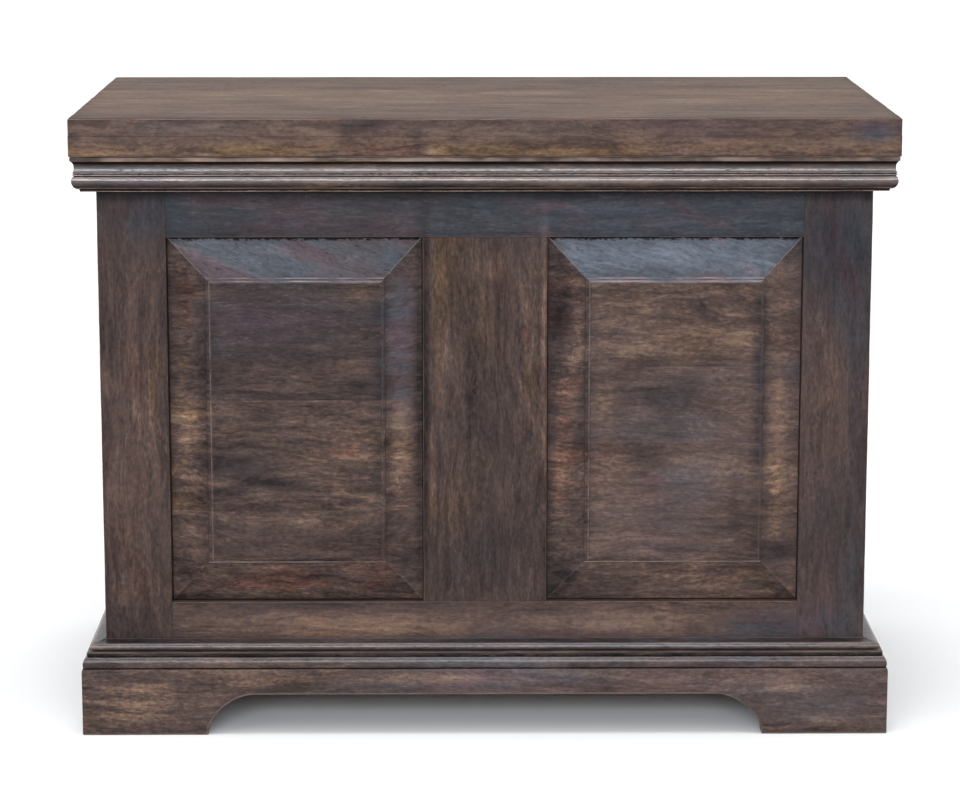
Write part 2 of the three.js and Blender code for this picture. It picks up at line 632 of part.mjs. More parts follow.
// The stud and the lid's pivot are the same distance from the hinge axis, so the arm turns through
// exactly half the lid's angle and the stud stays on the middle line of its slot.
function buildStay() {
  const forward = (rise) => AXIS_Y - Math.sqrt(STAY_REACH ** 2 - rise ** 2);
  const pivot = { y: forward(STAY_RISE), z: AXIS_Z + STAY_RISE };
  const stud = { y: forward(STAY_DROP), z: AXIS_Z - STAY_DROP };
  const closedAngle = Math.asin(STAY_RISE / STAY_REACH) + Math.asin(STAY_DROP / STAY_REACH);
  const openAngle = closedAngle + THREE.MathUtils.degToRad(LID_OPEN_DEG);
  const closedSpan = 2 * STAY_REACH * Math.sin(closedAngle / 2);
  const openSpan = 2 * STAY_REACH * Math.sin(openAngle / 2);

  // The arm is drawn along -Z from its pivot, then leaned so that it passes over the stud.
  const slotRadius = STUD_RADIUS + SLOT_CLEARANCE;
  const end = openSpan + slotRadius + STAY_OVERRUN;
  const round = STAY_WIDTH / 2;
  const outline = new THREE.Shape();
  outline.absarc(0, 0, round, 0, Math.PI, false);
  outline.absarc(0, -end, round, Math.PI, 2 * Math.PI, false);
  const slot = new THREE.Path();
  slot.absarc(0, -closedSpan + STAY_OVERRUN, slotRadius, 0, Math.PI, false);
  slot.absarc(0, -openSpan - STAY_OVERRUN, slotRadius, Math.PI, 2 * Math.PI, false);
  const eye = new THREE.Path();
  eye.absarc(0, 0, STUD_RADIUS + GAP, 0, 2 * Math.PI, false);
  outline.holes.push(slot, eye);
  const arm = extrude(outline, STAY_THICK, 8);
  arm.translate(0, 0, -STAY_THICK / 2).rotateX(Math.PI / 2).rotateZ(Math.PI / 2);
  const lean = new THREE.Group();
  lean.position.set(STAY_X, pivot.y, pivot.z);
  lean.rotation.x = Math.atan2(stud.y - pivot.y, pivot.z - stud.z);
  addMesh(lean, "stay_arm", arm, steel);
  chest.add(lean);

  // Bracket: a foot screwed under the lid boards, an ear beside the edging and a riveted pivot.
  const beside = STAY_THICK / 2 + STAY_CLEARANCE;
  const roof = BOARD_LOW - pivot.z - GAP;
  const ear = block([beside, -BRACKET_HALF, -BRACKET_DROP], [beside + BRACKET_THICK, BRACKET_HALF, roof]);
  const foot = block(
    [beside - BRACKET_FOOT, -BRACKET_HALF, roof - BRACKET_THICK],
    [beside + BRACKET_THICK / 2, BRACKET_HALF, roof]
  );
  const add = [
    foot,
    rod(STUD_RADIUS, -beside - JOIN, beside + JOIN, 0, 0),
    rod(RIVET_RADIUS, -beside - RIVET_PROUD, -beside, 0, 0),
  ];
  addMesh(chest, "stay_lid_bracket", carve(ear, { add }), steel, [STAY_X, pivot.y, pivot.z]);

  // Stud: a flange on the side rail, a shank through the slot and a retaining head.
  const flange = INNER_X - GAP - STAY_X;
  const shank = rod(STUD_RADIUS, -beside - JOIN, flange, 0, 0);
  const studParts = [
    rod(STUD_HEAD_RADIUS, -beside - STUD_HEAD_PROUD, -beside, 0, 0),
    rod(STUD_COLLAR_RADIUS, beside, flange, 0, 0),
    rod(STUD_FLANGE_RADIUS, flange - STUD_FLANGE_THICK, flange, 0, 0),
  ];
  addMesh(chest, "stay_stud", carve(shank, { add: studParts }), steel, [STAY_X, stud.y, stud.z]);
}

buildFrames();
buildFloor();
buildBase();
buildLid();
buildHinges();
buildStay();

export default chest;
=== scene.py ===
"""Looks for the lift-lid blanket chest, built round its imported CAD.

Every wooden part is made again as a worn, slightly uneven board, panel or moulding in the place of
its CAD node. The hinges and the stay are the CAD's own, with eased edges and aged metal. Lengths in
this file are millimetres until make() turns them into metres.
"""

import math
import zlib
from functools import partialmethod

import bpy
import numpy as np
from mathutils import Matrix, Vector


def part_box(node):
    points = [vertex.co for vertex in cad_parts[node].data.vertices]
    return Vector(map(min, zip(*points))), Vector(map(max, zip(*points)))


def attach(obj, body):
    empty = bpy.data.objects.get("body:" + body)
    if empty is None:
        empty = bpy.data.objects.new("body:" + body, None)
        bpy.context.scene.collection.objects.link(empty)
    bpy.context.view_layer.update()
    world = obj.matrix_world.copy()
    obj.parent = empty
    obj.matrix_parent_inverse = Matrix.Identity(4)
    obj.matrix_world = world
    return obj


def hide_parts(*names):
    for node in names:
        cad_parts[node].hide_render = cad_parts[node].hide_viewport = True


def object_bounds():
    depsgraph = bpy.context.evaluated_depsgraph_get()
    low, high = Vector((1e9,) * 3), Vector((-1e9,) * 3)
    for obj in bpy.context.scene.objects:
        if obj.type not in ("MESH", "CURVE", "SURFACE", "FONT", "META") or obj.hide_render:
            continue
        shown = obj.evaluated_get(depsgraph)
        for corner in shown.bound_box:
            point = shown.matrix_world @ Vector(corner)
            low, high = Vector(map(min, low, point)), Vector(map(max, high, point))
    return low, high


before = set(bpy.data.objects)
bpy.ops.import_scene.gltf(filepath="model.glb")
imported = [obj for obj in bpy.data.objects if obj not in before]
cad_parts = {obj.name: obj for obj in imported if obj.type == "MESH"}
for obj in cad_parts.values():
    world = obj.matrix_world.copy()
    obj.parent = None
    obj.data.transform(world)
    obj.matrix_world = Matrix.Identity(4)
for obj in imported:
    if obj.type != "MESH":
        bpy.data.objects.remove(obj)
cad_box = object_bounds()

MM = 0.001
X, Y, Z = range(3)


# ---- places, from the CAD


def low(node):
    return np.array(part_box(node)[0]) / MM


def high(node):
    return np.array(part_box(node)[1]) / MM


FACE = {
    "front": low("front_left_stile")[Y],
    "back": high("back_left_stile")[Y],
    "left": low("left_side_front_stile")[X],
    "right": high("right_side_front_stile")[X],
}
RIM = high("front_left_stile")[Z]
FOOT = low("cornice_front")[Z]
THICK = high("front_left_stile")[Y] - FACE["front"]
SIDE_MIDDLE = (low("left_side_panel")[Y] + high("left_side_panel")[Y]) / 2

# A side's own frame: s runs to the right along the face, d goes in behind it, and z is up.
TURN = {
    "front": np.array([[1, 0], [0, 1]]),
    "back": np.array([[-1, 0], [0, -1]]),
    "left": np.array([[0, 1], [-1, 0]]),
    "right": np.array([[0, -1], [1, 0]]),
}


def turned(points, side, middle=0.0):
    """Points in a side's own frame, in the chest's frame. middle is where s is 0 along the side."""
    flat = points[:, :2] @ TURN[side].T
    if side in ("front", "back"):
        flat += [middle, FACE[side]]
    else:
        flat += [FACE[side], middle]
    return np.column_stack([flat, points[:, 2]])


# ---- noise and meshes


def seed_of(text):
    return zlib.crc32(text.encode())


def waves(points, length, seed, octaves=3):
    """Smooth noise from -1 to 1 over points. length is the size of its largest features."""
    draw = np.random.default_rng(seed)
    total = np.zeros(len(points))
    for octave in range(octaves):
        for _ in range(5):
            direction = draw.normal(size=3)
            direction /= np.linalg.norm(direction)
            turns = 2**octave * draw.uniform(0.6, 1.4) / length
            phase = draw.uniform(0, 2 * np.pi)
            total += 0.55**octave * np.sin(points @ direction * (2 * np.pi * turns) + phase)
    return np.clip(total / 4.5, -1, 1)


# Where the hand-rubbed finish of the front differs: the patch's middle x and z, its half width and
# half height, and how much lighter, warmer and, where there is a seventh number, redder it is. One
# thin dark line, at the foot of the lid's edging, is painted shade.
RUBS_AND_SHADE = [
    # left stile and top rail
    (-400, 280, 28, 160, 0.02, 0.25), (-390, 605, 60, 44, -0.04, -1.0), (-358, 400, 7, 200, -0.05, 0.0),
    (-370, 415, 11, 20, 0.04, 0.8), (-230, 585, 50, 16, 0.0, -0.6), (150, 590, 90, 20, 0.02, -0.4),
    # left panel, round its bevel and then its field
    (-335, 340, 11, 170, 0.04, 0.4), (-314, 400, 5, 150, -0.06, 0.0),
    (-336, 505, 16, 46, -0.03, 0.6, 1.1),
    (-335, 181, 13, 12, -0.10, 0.0), (-95, 450, 20, 100, 0.03, -1.3, 0.2), (-95, 322, 11, 64, 0.11, 0.2),
    (-74, 350, 4, 200, -0.12, 0.0), (-86, 190, 14, 30, -0.05, -0.3),
    (-240, 167, 110, 10, 0.03, 0.9, 1.1),
    (-200, 189, 78, 4, 0.15, 0.5), (-225, 470, 100, 44, -0.01, -1.0, 0.4), (-135, 508, 24, 7, 0.15, 0.9),
    (-304, 505, 13, 6, 0.08, 0.6), (-150, 420, 20, 16, 0.04, 0.3), (-170, 322, 56, 36, 0.05, 0.7),
    (-282, 304, 38, 15, -0.11, -0.7), (-240, 284, 36, 7, -0.20, -0.7), (-298, 276, 24, 4, -0.14, -0.6),
    (-250, 271, 10, 4, 0.14, 0.9), (-190, 240, 70, 7, 0.05, 0.2), (-120, 430, 8, 80, -0.05, -0.6),
    # muntin
    (-60, 290, 4, 60, 0.10, 0.5), (-48, 530, 12, 28, 0.06, 0.5), (-50, 430, 9, 90, 0.05, 0.3),
    (-14, 400, 8, 110, -0.05, 0.0), (50, 430, 12, 90, 0.06, 0.7), (10, 532, 15, 15, 0.05, 0.2),
    (-10, 200, 44, 40, -0.05, -0.4), (-67, 400, 3, 200, -0.12, 0.0),
    (66, 480, 2.6, 90, 0.2, 0.8), (66, 300, 2.6, 60, 0.1, 0.4),
    # right panel, round its bevel and then its field
    (80, 480, 12, 66, -0.09, 0.3), (104, 460, 7, 60, 0.08, 0.5), (93, 370, 13, 60, 0.08, 0.6),
    (84, 290, 8, 60, 0.09, 0.6), (86, 184, 15, 14, -0.12, -0.3), (308, 400, 5, 150, -0.08, -0.3),
    (329, 330, 9, 120, 0.05, 0.4), (330, 262, 8, 34, 0.03, 0.4), (331, 204, 20, 11, -0.14, -0.7),
    (220, 176, 90, 11, 0.03, 0.6, 0.2), (220, 440, 80, 16, 0.06, 0.3), (205, 380, 40, 34, -0.06, -0.3),
    (132, 370, 15, 36, 0.06, 0.4), (256, 352, 26, 14, 0.0, -0.3), (240, 300, 55, 26, 0.06, -0.2),
    (205, 215, 44, 5, -0.09, -0.2), (287, 260, 10, 50, -0.05, -0.3), (200, 511, 90, 6, 0.05, 0.6),
    (205, 545, 130, 24, 0.0, -0.5, -0.9), (0, 590, 330, 24, 0.0, 0.0, -0.5),
    (205, 440, 90, 90, 0.0, 0.1, -0.6), (205, 250, 90, 70, 0.0, -0.35, -0.3),
    (86, 380, 30, 120, -0.01, 0.0, 0.3),
    # right stile and bottom rail
    (385, 550, 44, 80, -0.06, -0.8), (385, 400, 20, 66, 0.01, 0.3), (380, 230, 40, 60, -0.02, -0.2),
    (418, 350, 9, 200, -0.04, -0.4), (-150, 120, 150, 15, 0.12, 0.3), (150, 124, 90, 14, 0.10, -0.1),
    (325, 126, 60, 20, -0.02, -0.9), (-392, 124, 44, 28, -0.06, -0.5),
    # lid edge
    (-135, 690, 22, 6, -0.10, -0.4), (-152, 680, 8, 11, -0.08, 0.0), (-75, 680, 7, 14, -0.08, 0.0),
    (-56, 665, 14, 5, 0.08, 0.6), (118, 687, 44, 4, -0.08, -0.3), (156, 678, 24, 6, 0.05, 0.4),
    (426, 686, 24, 10, -0.03, -1.2), (-300, 667, 36, 5, 0.06, 0.5), (250, 667, 70, 5, 0.05, 0.5),
    # The middle patch here is painted shade in the seam under the lid's edging.
    (0, 661, 900, 5, 0.04, 0.7), (0, 656.6, 900, 1.7, -0.3, 0.3), (0, 688, 900, 12, -0.02, -0.6),
    (-330, 690, 60, 8, 0.03, -0.2),
    # plinth
    (-395, 57, 34, 4, 0.16, 0.5), (-400, 24, 32, 14, 0.04, 0.3), (-80, 66, 74, 6, 0.10, 0.5),
    (340, 58, 26, 6, 0.10, 0.3), (384, 20, 40, 14, 0.03, 0.0), (-430, 76, 13, 12, -0.10, 0.0),
    (300, 85, 44, 4, -0.08, -0.8), (170, 44, 380, 60, 0.04, -0.9, 0.3), (-250, 64, 40, 4, 0.06, 0.3),
    (120, 56, 60, 4, -0.05, 0.2),
]
RUB_DEPTH = 1.5  # how strong they are in all
RUBBED_DEEP, RUBBED_FADE = 14, 6  # how far behind the face they end, and over what distance

# A shadow painted on the body in a line under the cornice: how far above the cornice's foot it is
# darkest, how far it reaches up and down, and how dark it is.
SHADOW_RISE, SHADOW_REACH, SHADOW_DARK = 2, 10.5, 0.36


def rubs_and_shade(points):
    """How much lighter, warmer and redder the rubbed patches and the painted shade line make each point.
    """
    light, warm, red = np.zeros((3, len(points)))
    near = np.clip((FACE["front"] + RUBBED_DEEP - points[:, Y]) / RUBBED_FADE, 0, 1)
    for x, z, half_x, half_z, lighter, warmer, *redder in RUBS_AND_SHADE:
        far = ((points[:, X] - x) / half_x) ** 2 + ((points[:, Z] - z) / half_z) ** 2
        amount = np.exp(-(far**1.3)) * near
        light += RUB_DEPTH * lighter * amount
        warm += RUB_DEPTH * warmer * amount
        red += sum(redder) * amount
    return light, warm, red


def painted_cornice_shadow(points):
    """How much painted shadow falls on the body along the line of the cornice's foot, from 0 to 1."""
    deep = np.minimum(points[:, Y] - FACE["front"], FACE["right"] - np.abs(points[:, X]))
    on_face = (deep > -1) & (deep < 3)
    return on_face * np.exp(-(np.abs(points[:, Z] - FOOT - SHADOW_RISE) / SHADOW_REACH) ** 2.6)


FAR_FROM_EDGE = 60.0  # where nothing is worn


def outwards(points, faces):
    """The faces of a closed form, turned over if they face inwards."""
    volume = 0.0
    for face in faces:
        corner = points[list(face)]
        for i in range(1, len(face) - 1):
            volume += np.dot(corner[0], np.cross(corner[i], corner[i + 1]))
    return [face[::-1] for face in faces] if volume < 0 else faces


def quads(ids):
    """The faces between neighbours in a grid of point numbers."""
    return np.stack([ids[:-1, :-1], ids[:-1, 1:], ids[1:, 1:], ids[1:, :-1]], 2).reshape(-1, 4)


def tube(ids):
    """The faces of a grid of point numbers whose last column meets its first."""
    return quads(np.column_stack([ids, ids[:, 0]])).tolist()


def new_mesh(name, points, faces):
    mesh = bpy.data.meshes.new(name)
    mesh.from_pydata((points * MM).tolist(), [], [list(map(int, f)) for f in faces])
    mesh.validate()
    return mesh


def new_object(name, data):
    made = bpy.data.objects.new(name, data)
    bpy.context.scene.collection.objects.link(made)
    return made


def new_piece(mesh, body, slot, smooth):
    """The piece that shows a mesh. Edges that bend more than smooth degrees stay sharp."""
    mesh.polygons.foreach_set("use_smooth", np.ones(len(mesh.polygons), bool))
    mesh.set_sharp_from_angle(angle=math.radians(smooth))
    mesh.materials.append(MATERIALS[slot])
    piece = new_object(mesh.name, mesh)
    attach(piece, body)
    return piece


def make(name, points, faces, *, body, slot, groups, local=None, group_of=None, edge, stain_and_shade=None,
         bare=1.0, kin=None, finish=None, smooth=40):
    """A wooden piece in the place of its CAD node, with what its material reads: the place in the
    wood, u along its grain, how far the nearest worn edge is, and how light or warm the finish is.

    groups holds, for each group of faces, (axis of its grain, lighter, warmer, the number of the
    board that it is part of, how many degrees its grain leans). finish holds three arrays over the
    points: lighter, warmer and how polished. local is where the points are in the wood, and kin
    names the piece whose wood it continues."""
    mesh = new_mesh(name, points, faces)
    local = points if local is None else local
    group_of = np.zeros(len(faces), int) if group_of is None else np.asarray(group_of)
    corner_vertex = np.zeros(len(mesh.loops), int)
    mesh.loops.foreach_get("vertex_index", corner_vertex)
    sizes = np.zeros(len(mesh.polygons), int)
    mesh.polygons.foreach_get("loop_total", sizes)
    corner_group = np.repeat(group_of, sizes)

    draw = np.random.default_rng(seed_of(kin or name))
    light, warm, red = rubs_and_shade(points)
    painted_shading, more_warm, sheen = np.zeros((3, len(points))) if finish is None else finish
    # The painted shadow under the cornice, and the mouldings' painted light and shade by height, go into
    # the tone here.
    light, warm = light + painted_shading - SHADOW_DARK * painted_cornice_shadow(points), warm + more_warm
    grain, tone = np.zeros((2, len(corner_vertex), 3))
    offsets = {number: draw.uniform(-3, 3, 3) for number in sorted({g[3] for g in groups})}
    for index, (axis, lighter, warmer, number, lean) in enumerate(groups):
        chosen = corner_group == index
        order = [axis, (axis + 1) % 3, (axis + 2) % 3]
        at = corner_vertex[chosen]
        placed = local[at][:, order] * MM
        placed[:, 1:] += placed[:, :1] * math.tan(math.radians(lean))
        grain[chosen] = placed + offsets[number]
        tone[chosen] = np.column_stack([light[at] + lighter, warm[at] + warmer, red[at]])
    marks = np.zeros((len(points), 3))
    marks[:, 0] = edge * MM
    # The second mark is stain and painted shade in recesses.
    marks[:, 1] = 0.0 if stain_and_shade is None else stain_and_shade
    marks[:, 2] = bare
    polish = mesh.attributes.new("sheen", "FLOAT", "POINT")
    polish.data.foreach_set("value", sheen.astype(np.float32))
    for key, values, domain in (("grain", grain, "CORNER"), ("tone", tone, "CORNER"),
                                ("marks", marks, "POINT")):
        layer = mesh.attributes.new(key, "FLOAT_VECTOR", domain)
        layer.data.foreach_set("vector", values.astype(np.float32).ravel())
    piece = new_piece(mesh, body, slot, smooth)
    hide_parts(name)
    return piece


# ---- boards


def stations(length, round_low, round_high, cell):
    """Places from 0 to length: close together in the rounded ends, then even."""
    ends = [0, 0.3, 0.65, 1, 1.6, 2.6]
    first = [e * round_low for e in ends if e * round_low < length / 2]
    last = [length - e * round_high for e in ends if e * round_high < length / 2][::-1]
    count = max(1, round((last[0] - first[-1]) / cell))
    middle = np.linspace(first[-1], last[0], count + 1)[1:-1]
    return np.array([*first, *middle, *last])


def lattice(counts):
    """The surface of a box of cells: index triples of its points, its faces, and for each face its
    side (0 to 5: low and high X, Y and Z) and its lowest corner along the side's two axes."""
    shape = np.array(counts) + 1
    ids = np.arange(shape.prod()).reshape(shape)
    faces, sides, cells = [], [], []
    for axis in range(3):
        for end in (0, 1):
            grid = np.take(ids, -end, axis)
            made = quads(grid)
            faces.append(made[:, ::-1] if (axis == Y) == (end == 0) else made)
            sides.append(np.full(len(made), 2 * axis + end))
            cells.append(np.indices(np.array(grid.shape) - 1).reshape(2, -1).T)
    used, faces = np.unique(np.concatenate(faces), return_inverse=True)
    triples = np.stack(np.unravel_index(used, shape), 1)
    return triples, faces.reshape(-1, 4), np.concatenate(sides), np.concatenate(cells)


JOINT = 0.08  # rounding where a board meets its neighbour
ARRIS = 1.1  # and where its edge is free
BOARD_LEAN = 0.6  # degrees that the grain runs off the board

# How much lighter and warmer than the rest some boards are.
TONES = {
    "front_left_stile": (-0.04, 0.1), "front_right_stile": (-0.03, -0.7), "front_muntin": (-0.06, 0.1),
    "front_top_rail": (-0.07, -1.8), "front_bottom_rail": (0.01, -0.2),
    "lid_board_front": (0.0, 0.1), "lid_board_middle": (0.03, 0.2), "lid_board_rear": (-0.02, 0.0),
}


def between(node_low, node_high, axis, gap=0.03):
    """The space that two nodes leave between them along an axis."""
    return high(node_low)[axis] + gap, low(node_high)[axis] - gap


def board(name, along, slot, body="carcass", *, span=None, stretch=(0, 0), joints="", cell=12,
          wear=1.0, arris=ARRIS, shape=None, kin=None):
    """A board in the place of its node, its grain along an axis, its edges eased and worn. span is
    where it starts and ends along its grain, if not as its node does, and stretch is how much it
    grows down and up. joints names the sides that meet a neighbour, such as "-x+z". shape may move
    its points."""
    lowest, highest = low(name), high(name)
    if span:
        lowest[along], highest[along] = span
    lowest[Z] -= stretch[0]
    highest[Z] += stretch[1]
    size = highest - lowest
    meets = [f"{sign}{axis}" in joints for axis in "xyz" for sign in "-+"]
    rounding = np.array([JOINT if m else arris for m in meets]).reshape(3, 2)
    rounding = np.minimum(rounding, size[:, None] / 3)
    cells = [cell if size[a] > 2 * THICK else 2 * cell for a in range(3)]
    lines = [stations(size[a], *rounding[a], cells[a]) for a in range(3)]
    triples, faces, _, _ = lattice([len(line) - 1 for line in lines])
    square = np.stack([lines[a][triples[:, a]] for a in range(3)], 1) + lowest

    seed = seed_of(name)
    worn = 1 + wear * (0.45 * waves(square, 90, seed) + 0.35 * waves(square, 17, seed + 1))
    worn += wear * 2.2 * np.clip(waves(square, 42, seed + 2) - 0.62, 0, 1)
    worn = np.clip(worn, 0.35, 2.6)[:, None]
    near, far = lowest + rounding[:, 0] * worn, highest - rounding[:, 1] * worn
    core = np.clip(square, near, far)
    away = square - core
    reach = np.where(away < 0, rounding[:, 0], rounding[:, 1]) * worn
    unit = away / reach
    unit /= np.linalg.norm(unit, axis=1)[:, None]
    sunk = 0.12 + 0.12 * waves(square, 70, seed + 3)
    points = core + unit * reach - unit * sunk[:, None]

    # The distance to an edge is the second smallest of the distances to the sides that are free.
    gaps = np.stack([square - lowest, highest - square], 2).reshape(-1, 6)
    free = np.sort(gaps + np.where(meets, 1000.0, 0.0), 1)[:, 1]
    if shape:
        points = shape(points)
    return make(name, points, faces, body=body, slot=slot,
                groups=[(along, *TONES.get(name, (0, 0)), 0, BOARD_LEAN)],
                edge=np.minimum(free, FAR_FROM_EDGE), kin=kin)


# ---- raised and flat panels

# Shares of the bevel's width at which its rings lie.
BEVEL_ROWS = (0.03, 0.07, 0.12, 0.19, 0.3, 0.44, 0.58, 0.72, 0.86, 1.0)
BEVEL_CELLS = len(BEVEL_ROWS)
BEVEL_SIDE, BEVEL_END = 42, 45.5
MITRE_SCALE = 31  # from shares of the two bevels' widths to the distance from their mitre
PANEL_CELL = 11
TONGUE = 9  # how much of a panel is in its grooves
PANEL_DEPTHS = (9.8, 16.2)  # of the tongue's two faces behind the frame's face
# How far each ring inside the bevel is from its inner edge, and how deep behind the frame's face.
STEP = [(0, 2.2), (0.15, 1.6), (0.35, 0.9), (0.6, 0.55), (1.1, 0.48), (2.6, 0.5), (4.1, 0.5),
        (4.6, 0.44), (4.8, 0.1), (5.1, -0.26), (5.7, -0.38), (7.2, -0.4)]
LEDGE_EDGE, FIELD_EDGE = 0.5, 5.05  # the step's two edges, from the same place
# How worn the two edges of the step are on the left, right, low and high side.
LEDGE_WEAR = (0.0, 0.05, 1.2, 1.2)
FIELD_WEAR = (0.38, 0.15, 0.0, 1.0)
MITRE_WEAR = (0.36, 0.12)  # of the upper and the lower mitres
LEDGE_LESS = (0.0, 2.2, 1.8, 1.2)  # how much narrower than the left one the other ledges are


def panel(name, side, joints, tones, bevel_shading_and_tones=((0, 0, 0),) * 4):
    """A panel in a side's own frame. It is made of boards glued edge to edge at the heights in
    joints, and tones says how much lighter and warmer each is. The back's panels are flat, and the
    rest have a tongue, a long bevel mitred at the corners, a small step and a raised field.
    Its last argument holds lighter, warmer and the grain's lean for the left, right, low and high
    bevel; the high bevel's lighter, bluer tone is a painted reflection."""
    lowest, highest = low(name), high(name)
    raised = side != "back"
    if side in ("left", "right"):
        middle = SIDE_MIDDLE
        half = (highest[Y] - lowest[Y]) / 2
        s_range = -half, half
    else:
        middle = 0
        s_range = (lowest[X], highest[X]) if raised else (-highest[X], -lowest[X])
    z_range = np.array([lowest[Z], highest[Z]])
    face_depth, back_depth = PANEL_DEPTHS
    rings = [0, TONGUE]
    ends = [0, TONGUE]
    depth = [face_depth, face_depth]
    if raised:
        for t in BEVEL_ROWS:
            rings.append(TONGUE + BEVEL_SIDE * t)
            ends.append(TONGUE + BEVEL_END * t)
            depth.append(face_depth + (STEP[0][1] - face_depth) * t + 0.5 * math.sin(math.pi * t))
        for inwards, deep in STEP[1:]:
            rings.append(TONGUE + BEVEL_SIDE + inwards)
            ends.append(TONGUE + BEVEL_END + inwards)
            depth.append(deep)
    border = len(rings) - 1

    def line(first, last, insets, cuts=()):
        """The lattice's places along one axis: the rings, and the field with its cuts."""
        inner = [first + insets[-1], *cuts, last - insets[-1]]
        field = [inner[0]]
        for a, b in zip(inner, inner[1:]):
            field += list(np.linspace(a, b, max(1, round((b - a) / PANEL_CELL)) + 1)[1:])
        outer = np.array(insets[:-1])
        return np.array([*(first + outer), *field, *(last - outer)[::-1]])

    ss = line(*s_range, rings)
    zs = line(*z_range, ends, joints)
    ns, nz = len(ss) - 1, len(zs) - 1
    triples, faces, face_side, cells = lattice([ns, 1, nz])
    ring_s = np.minimum(triples[:, 0], ns - triples[:, 0])
    ring_z = np.minimum(triples[:, 2], nz - triples[:, 2])
    ring = np.minimum(np.minimum(ring_s, ring_z), border)
    s, z = ss[triples[:, 0]], zs[triples[:, 2]]
    front = triples[:, 1] == 0
    d = np.where(front, np.array(depth)[ring], back_depth)
    local = np.stack([s, d, z], 1)
    seed = seed_of(name)
    uneven = 0.25 * waves(local, 60, seed) + 0.12 * waves(local, 21, seed + 1)
    if raised:
        ragged = 0.175 * waves(local * [3, 1, 1], 30, seed + 2)
        local[:, 1] += np.where(front & (ring > 1), 0.3 + uneven, 0)
        step = front & (ring > BEVEL_CELLS) & (ring <= border)
        local[step, 2] += ragged[step]
        local[step, 0] += ragged[step]

    # The front's cells on a mitre line are split along it, and each half belongs to its own side.
    out, group_of = [], []
    number = {tuple(t): i for i, t in enumerate(triples.tolist())}
    count = len(joints) + 1

    def group(kind, height):
        """kind is 0 or 1 for the left or right bevel, 2 or 3 for the low or high one, 4 the rest."""
        return kind * count + sum(height > joint for joint in joints)

    for face, which, (i, k) in zip(faces.tolist(), face_side.tolist(), cells.tolist()):
        height = (zs[k] + zs[k + 1]) / 2 if which < 4 else zs[0]
        near_s, near_z = min(i, ns - 1 - i), min(k, nz - 1 - k)
        if which != 2 or not raised or min(near_s, near_z) >= border:
            out.append(face)
            group_of.append(group(4, height))
            continue
        side_group = 0 if i < ns / 2 else 1
        end_group = 2 if k < nz / 2 else 3
        if near_s != near_z:
            out.append(face)
            group_of.append(group(side_group if near_s < near_z else end_group, height))
            continue
        a, b = number[i, 0, k], number[i + 1, 0, k]
        c, e = number[i + 1, 0, k + 1], number[i, 0, k + 1]
        if (side_group == 0) == (end_group == 2):
            halves = [([a, b, c], end_group == 2), ([a, c, e], end_group == 3)]
        else:
            halves = [([a, b, e], end_group == 2), ([b, c, e], end_group == 3)]
        for corner, is_end in halves:
            out.append(corner)
            group_of.append(group(end_group if is_end else side_group, height))

    groups = [(X, tones[b][0] + lighter, tones[b][1] + warmer, b, lean)
              for lighter, warmer, lean in [*bevel_shading_and_tones, (0.0, 0.0, 0.4)] for b in range(count)]
    inset_s = np.minimum(s - s_range[0], s_range[1] - s)
    inset_z = np.minimum(z - z_range[0], z_range[1] - z)
    if raised:
        sides = np.stack([s - s_range[0] - BEVEL_SIDE, s_range[1] - s - BEVEL_SIDE,
                          z - z_range[0] - BEVEL_END, z_range[1] - z - BEVEL_END], 1) - TONGUE
        arris = sides.min(1)
        edge = np.minimum(np.abs(arris - LEDGE_EDGE), np.abs(arris - FIELD_EDGE))
        outer = np.abs(arris - LEDGE_EDGE) < np.abs(arris - FIELD_EDGE)
        nearest = sides.argmin(1)
        bare = np.where(outer, np.array(LEDGE_WEAR)[nearest], np.array(FIELD_WEAR)[nearest])
        mitre = MITRE_SCALE * np.abs((inset_s - TONGUE) / BEVEL_SIDE - (inset_z - TONGUE) / BEVEL_END)
        on_mitre = (arris < -0.1) & (mitre < edge)
        edge = np.where(on_mitre, mitre, edge)
        bare = np.where(on_mitre, np.where(z > z_range.mean(), *MITRE_WEAR), bare)
        for k, (axis, sign) in enumerate(((0, -1), (0, 1), (2, -1), (2, 1))):
            share = np.interp(sides[:, k], (0.6, 4.1, 30), (0, 1, 0))
            local[:, axis] += sign * LEDGE_LESS[k] * share * front
        # Stain and painted shade darken the front by the grooves' mouths, reaching furthest below the
        # rail above, where its shade falls.
        mouth = np.minimum(inset_s, inset_z) - TONGUE
        under_rail = inset_z < np.minimum(inset_s, z - z_range[0])
        stain_and_shade = np.exp(-np.clip(mouth, 0, 99) / np.where(under_rail, 2.4, 0.5))
    else:
        edge = FAR_FROM_EDGE
        bare = 1.0
        # A light band of stain and painted shade by the grooves.
        stain_and_shade = 0.3 * np.exp(-np.clip(np.minimum(inset_s, inset_z) - TONGUE, 0, 99) / 1.5)
    points = turned(local, side, middle)
    return make(name, points, out, body="carcass", slot="panel_wood", local=local, groups=groups,
                group_of=group_of, edge=edge, stain_and_shade=np.where(front, stain_and_shade, 0), bare=bare, smooth=14)


# ---- mouldings


def bezier(p0, p1, p2, p3, count):
    t = np.linspace(0, 1, count + 1)[1:, None]
    p0, p1, p2, p3 = map(np.array, (p0, p1, p2, p3))
    return (1 - t) ** 3 * p0 + 3 * (1 - t) ** 2 * t * p1 + 3 * (1 - t) * t**2 * p2 + t**3 * p3


def outline(start, *parts):
    """A profile from points and, where a part is a tuple of three points, curves."""
    path = [np.array([start], float)]
    for part in parts:
        if isinstance(part[0], tuple):
            path.append(bezier(path[-1][-1], *part, 10))
        else:
            path.append(np.array([part], float))
    return np.concatenate(path)


